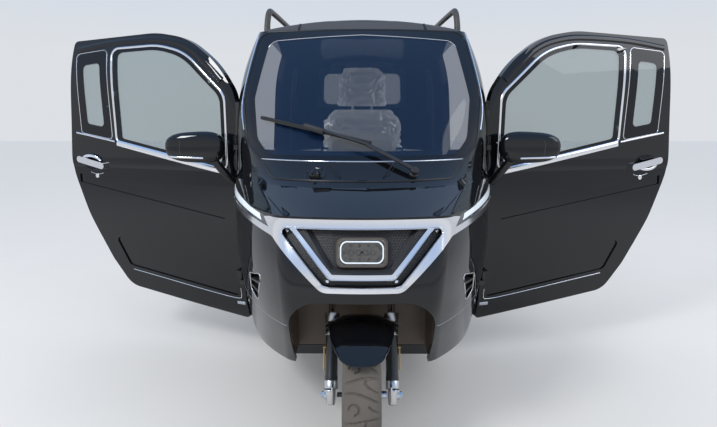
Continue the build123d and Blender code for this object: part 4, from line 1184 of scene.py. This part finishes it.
def make_seats():
    base = puff(solid_of([((420, 440, 88), at(0, 200, 508, 2), 34)], 0.006), 12)
    back = puff(solid_of([((400, 84, 640), at(0, 448, 850, -9), 34), ((440, 60, 90), at(0, 476, 1130, -9), 28)],
                         0.006), 12)
    head = puff(solid_of([((224, 74, 184), at(0, 494, 1336, -6), 34)], 0.006), 10)
    cushion = place_mesh("driver_cushion", base, "chassis", SEAT, replaces=["driver_seat"])
    backrest = place_mesh("driver_backrest", back, "chassis", SEAT)
    headrest = place_mesh("driver_headrest", head, "chassis", SEAT)
    bench = puff(solid_of([((620, 270, 92), at(0, 815, 468, 1), 34), ((620, 64, 370), at(0, 1016, 700, -4), 30)],
                          0.008), 12)
    rear = place_mesh("rear_bench_pads", bench, "chassis", SEAT, replaces=["rear_bench"])

    posts = Shape()
    for x in (-55, 55):
        posts.lathe([(6, 0), (6, 110)], mm(x, 484, 1160), (0, 0.05, 1), 16)
    posts.piece("headrest_posts", "chassis", CHROME, "frame_steel")

    wrap = Shape()
    for low, high, half, y_low, y_high, depth in ((1000, 1214, 214, 466, 496, 62), (1236, 1448, 124, 486, 502, 52)):
        rows = []
        for j in range(WRAP_ROWS):
            t = j / (WRAP_ROWS - 1)
            z = low + (high - low) * t
            close = 1 - 0.35 * max(0, t - 0.78) / 0.22 if high > 1300 else 1 - 0.3 * max(0, t - 0.7) / 0.3
            y = y_low + (y_high - y_low) * t
            row = []
            for k in range(WRAP_COLUMNS):
                a = 2 * pi * k / WRAP_COLUMNS
                wobble = noise.noise(Vector((cos(a) * 2.6, sin(a) * 2.6, z * 0.011)) + Vector((half, 0, 0)))
                fold = 26 * abs(noise.noise(Vector((a * 4.2, z * 0.03, half * 0.1)))) + 6 * wobble
                x = (half * close + fold) * abs(cos(a)) ** 0.5 * (1 if cos(a) >= 0 else -1)
                d = (depth * close + fold) * abs(sin(a)) ** 0.6 * (1 if sin(a) >= 0 else -1)
                row.append(mm(x, y + d, z))
            rows.append(row)
        wrap.grid(rows, around=True)
        start = len(wrap.points) - WRAP_COLUMNS
        wrap.faces.append(tuple(start + k for k in range(WRAP_COLUMNS)))
    wrap.piece("seat_wrap", "chassis", WRAP, "clear_lens")


# Inside
def make_inside():
    pedal = Shape()
    pedal.block((60, 8, 80), at(95, -520, 262, 35), 4, 3)
    pedal.block((12, 12, 120), at(95, -560, 300, 20), 3, 2)
    for k in range(5):
        pedal.block((50, 5, 4), at(95, -526, 236 + 13 * k, 35), 1.5)
    pedal.piece("brake_pedal", "chassis", STEEL, "frame_steel")


# Tail: rear window border and lamp rims
TAIL_GLASS = [(305, 1240, 30), (290, 1498, 30), (-290, 1498, 30), (-305, 1240, 30)]
TAIL_CLEAR = [(270, 1268, 40), (258, 1470, 40), (-258, 1470, 40), (-270, 1268, 40)]
TAIL_LAMP = [(400, 640, 12), (520, 640, 12), (520, 880, 12), (440, 880, 12)]
TAIL_TREE = surface("rear_body", "rear_window", "tail_lamps")


def make_tail():
    def spot(p, proud):
        return cast(TAIL_TREE, mm(p[0], 2000, p[1]), Vector((0, -1, 0)), proud)[0]

    border = Shape()
    band(border, rounded(TAIL_GLASS), rounded(TAIL_CLEAR), spot, rings=2, count=120)
    border.piece("rear_window_border", "chassis", FRIT, "matte_black")
    trims = Shape()
    for side in (-1, 1):
        loop = rounded([(side * x, z, r) for x, z, r in TAIL_LAMP], 6)
        found = [cast(TAIL_TREE, mm(p.x, 2000, p.y), Vector((0, -1, 0)), 0) for p in loop]
        trims.sweep([f[0] for f in found], bead(6, 3), [f[1] for f in found], closed=True)
    trims.piece("tail_lamp_rims", "chassis", CHROME, "chrome")


# Floor, backdrop and lights
FLOOR_COLOR = (0.7, 0.69, 0.67)
FLOOR_LIFT = 0.12
SKY_LOW = (0.72, 0.745, 0.78)
SKY_HIGH = (0.33, 0.52, 0.86)


def set_world():
    world = bpy.data.worlds.new("studio")
    bpy.context.scene.world = world
    world.use_nodes = True
    nodes = world.node_tree.nodes
    links = world.node_tree.links
    light = nodes["Background"]
    light.inputs["Color"].default_value = (0.86, 0.91, 1.0, 1)
    light.inputs["Strength"].default_value = 0.95
    place = nodes.new("ShaderNodeTexCoord")
    split = nodes.new("ShaderNodeSeparateXYZ")
    links.new(place.outputs["Generated"], split.inputs["Vector"])
    share = nodes.new("ShaderNodeMapRange")
    share.inputs["From Min"].default_value = 0.12
    share.inputs["From Max"].default_value = 0.75
    links.new(split.outputs["Z"], share.inputs["Value"])
    tone = nodes.new("ShaderNodeMix")
    tone.data_type = "RGBA"
    tone.inputs["A"].default_value = (*SKY_LOW, 1)
    tone.inputs["B"].default_value = (*SKY_HIGH, 1)
    links.new(share.outputs["Result"], tone.inputs["Factor"])
    shown = nodes.new("ShaderNodeBackground")
    links.new(tone.outputs["Result"], shown.inputs["Color"])
    paths = nodes.new("ShaderNodeLightPath")
    seen = nodes.new("ShaderNodeMath")
    seen.operation = "MAXIMUM"
    links.new(paths.outputs["Is Camera Ray"], seen.inputs[0])
    links.new(paths.outputs["Is Glossy Ray"], seen.inputs[1])
    through = nodes.new("ShaderNodeMath")
    through.operation = "MAXIMUM"
    links.new(seen.outputs["Value"], through.inputs[0])
    links.new(paths.outputs["Is Transmission Ray"], through.inputs[1])
    mix = nodes.new("ShaderNodeMixShader")
    links.new(through.outputs["Value"], mix.inputs["Fac"])
    links.new(light.outputs["Background"], mix.inputs[1])
    links.new(shown.outputs["Background"], mix.inputs[2])
    links.new(mix.outputs["Shader"], nodes["World Output"].inputs["Surface"])


def set_stage():
    bpy.ops.mesh.primitive_plane_add(size=60, location=(0, 0, 0))
    floor = bpy.context.object
    floor.name = "floor"
    ground = plain("floor_plain", FLOOR_COLOR, 0.8, vary=0.02, bump=0.0)
    floor.data.materials.append(ground)
    nodes = ground.node_tree.nodes
    paths = nodes.new("ShaderNodeLightPath")
    lift = nodes.new("ShaderNodeMath")
    lift.operation = "MULTIPLY"
    lift.inputs[1].default_value = FLOOR_LIFT
    ground.node_tree.links.new(paths.outputs["Is Camera Ray"], lift.inputs[0])
    ground.node_tree.links.new(lift.outputs["Value"], nodes["Principled BSDF"].inputs["Emission Strength"])
    nodes["Principled BSDF"].inputs["Emission Color"].default_value = (*FLOOR_COLOR, 1)
    for name, place, size, power in (
        ("key", (-3.2, -3.6, 4.6), 1.4, 130), ("fill", (4.2, -1.5, 3.6), 2.4, 40),
    ):
        data = bpy.data.lights.new(name, "AREA")
        data.energy = power
        data.size = size
        lamp = bpy.data.objects.new(name, data)
        lamp.location = place
        lamp.rotation_euler = lamp.location.to_track_quat("Z", "Y").to_euler()
        bpy.context.scene.collection.objects.link(lamp)


set_camera()
dress_nodes()
make_screen()
make_cowl()
make_roof()
make_grille()
make_headlamp()
make_flank_details()
make_wiper()
for door_side in (1, -1):
    make_door(door_side)
make_fork()
make_fender()
make_handlebar()
make_tyre("front_wheel_tyre", "front_wheel", mm(0, FRONT_AXLE_Y, FRONT_RADIUS), FRONT_RADIUS, FRONT_WIDTH, 600)
for wheel_side in (1, -1):
    wheel_name = f"rear_wheel_{SIDE_NAMES[wheel_side]}"
    make_tyre(wheel_name + "_tyre", wheel_name, mm(wheel_side * REAR_X, REAR_AXLE_Y, REAR_RADIUS), REAR_RADIUS,
              REAR_WIDTH, 480)
make_hubs()
make_seats()
make_inside()
make_tail()
set_world()
set_stage()
bpy.context.scene.view_settings.view_transform = "Standard"
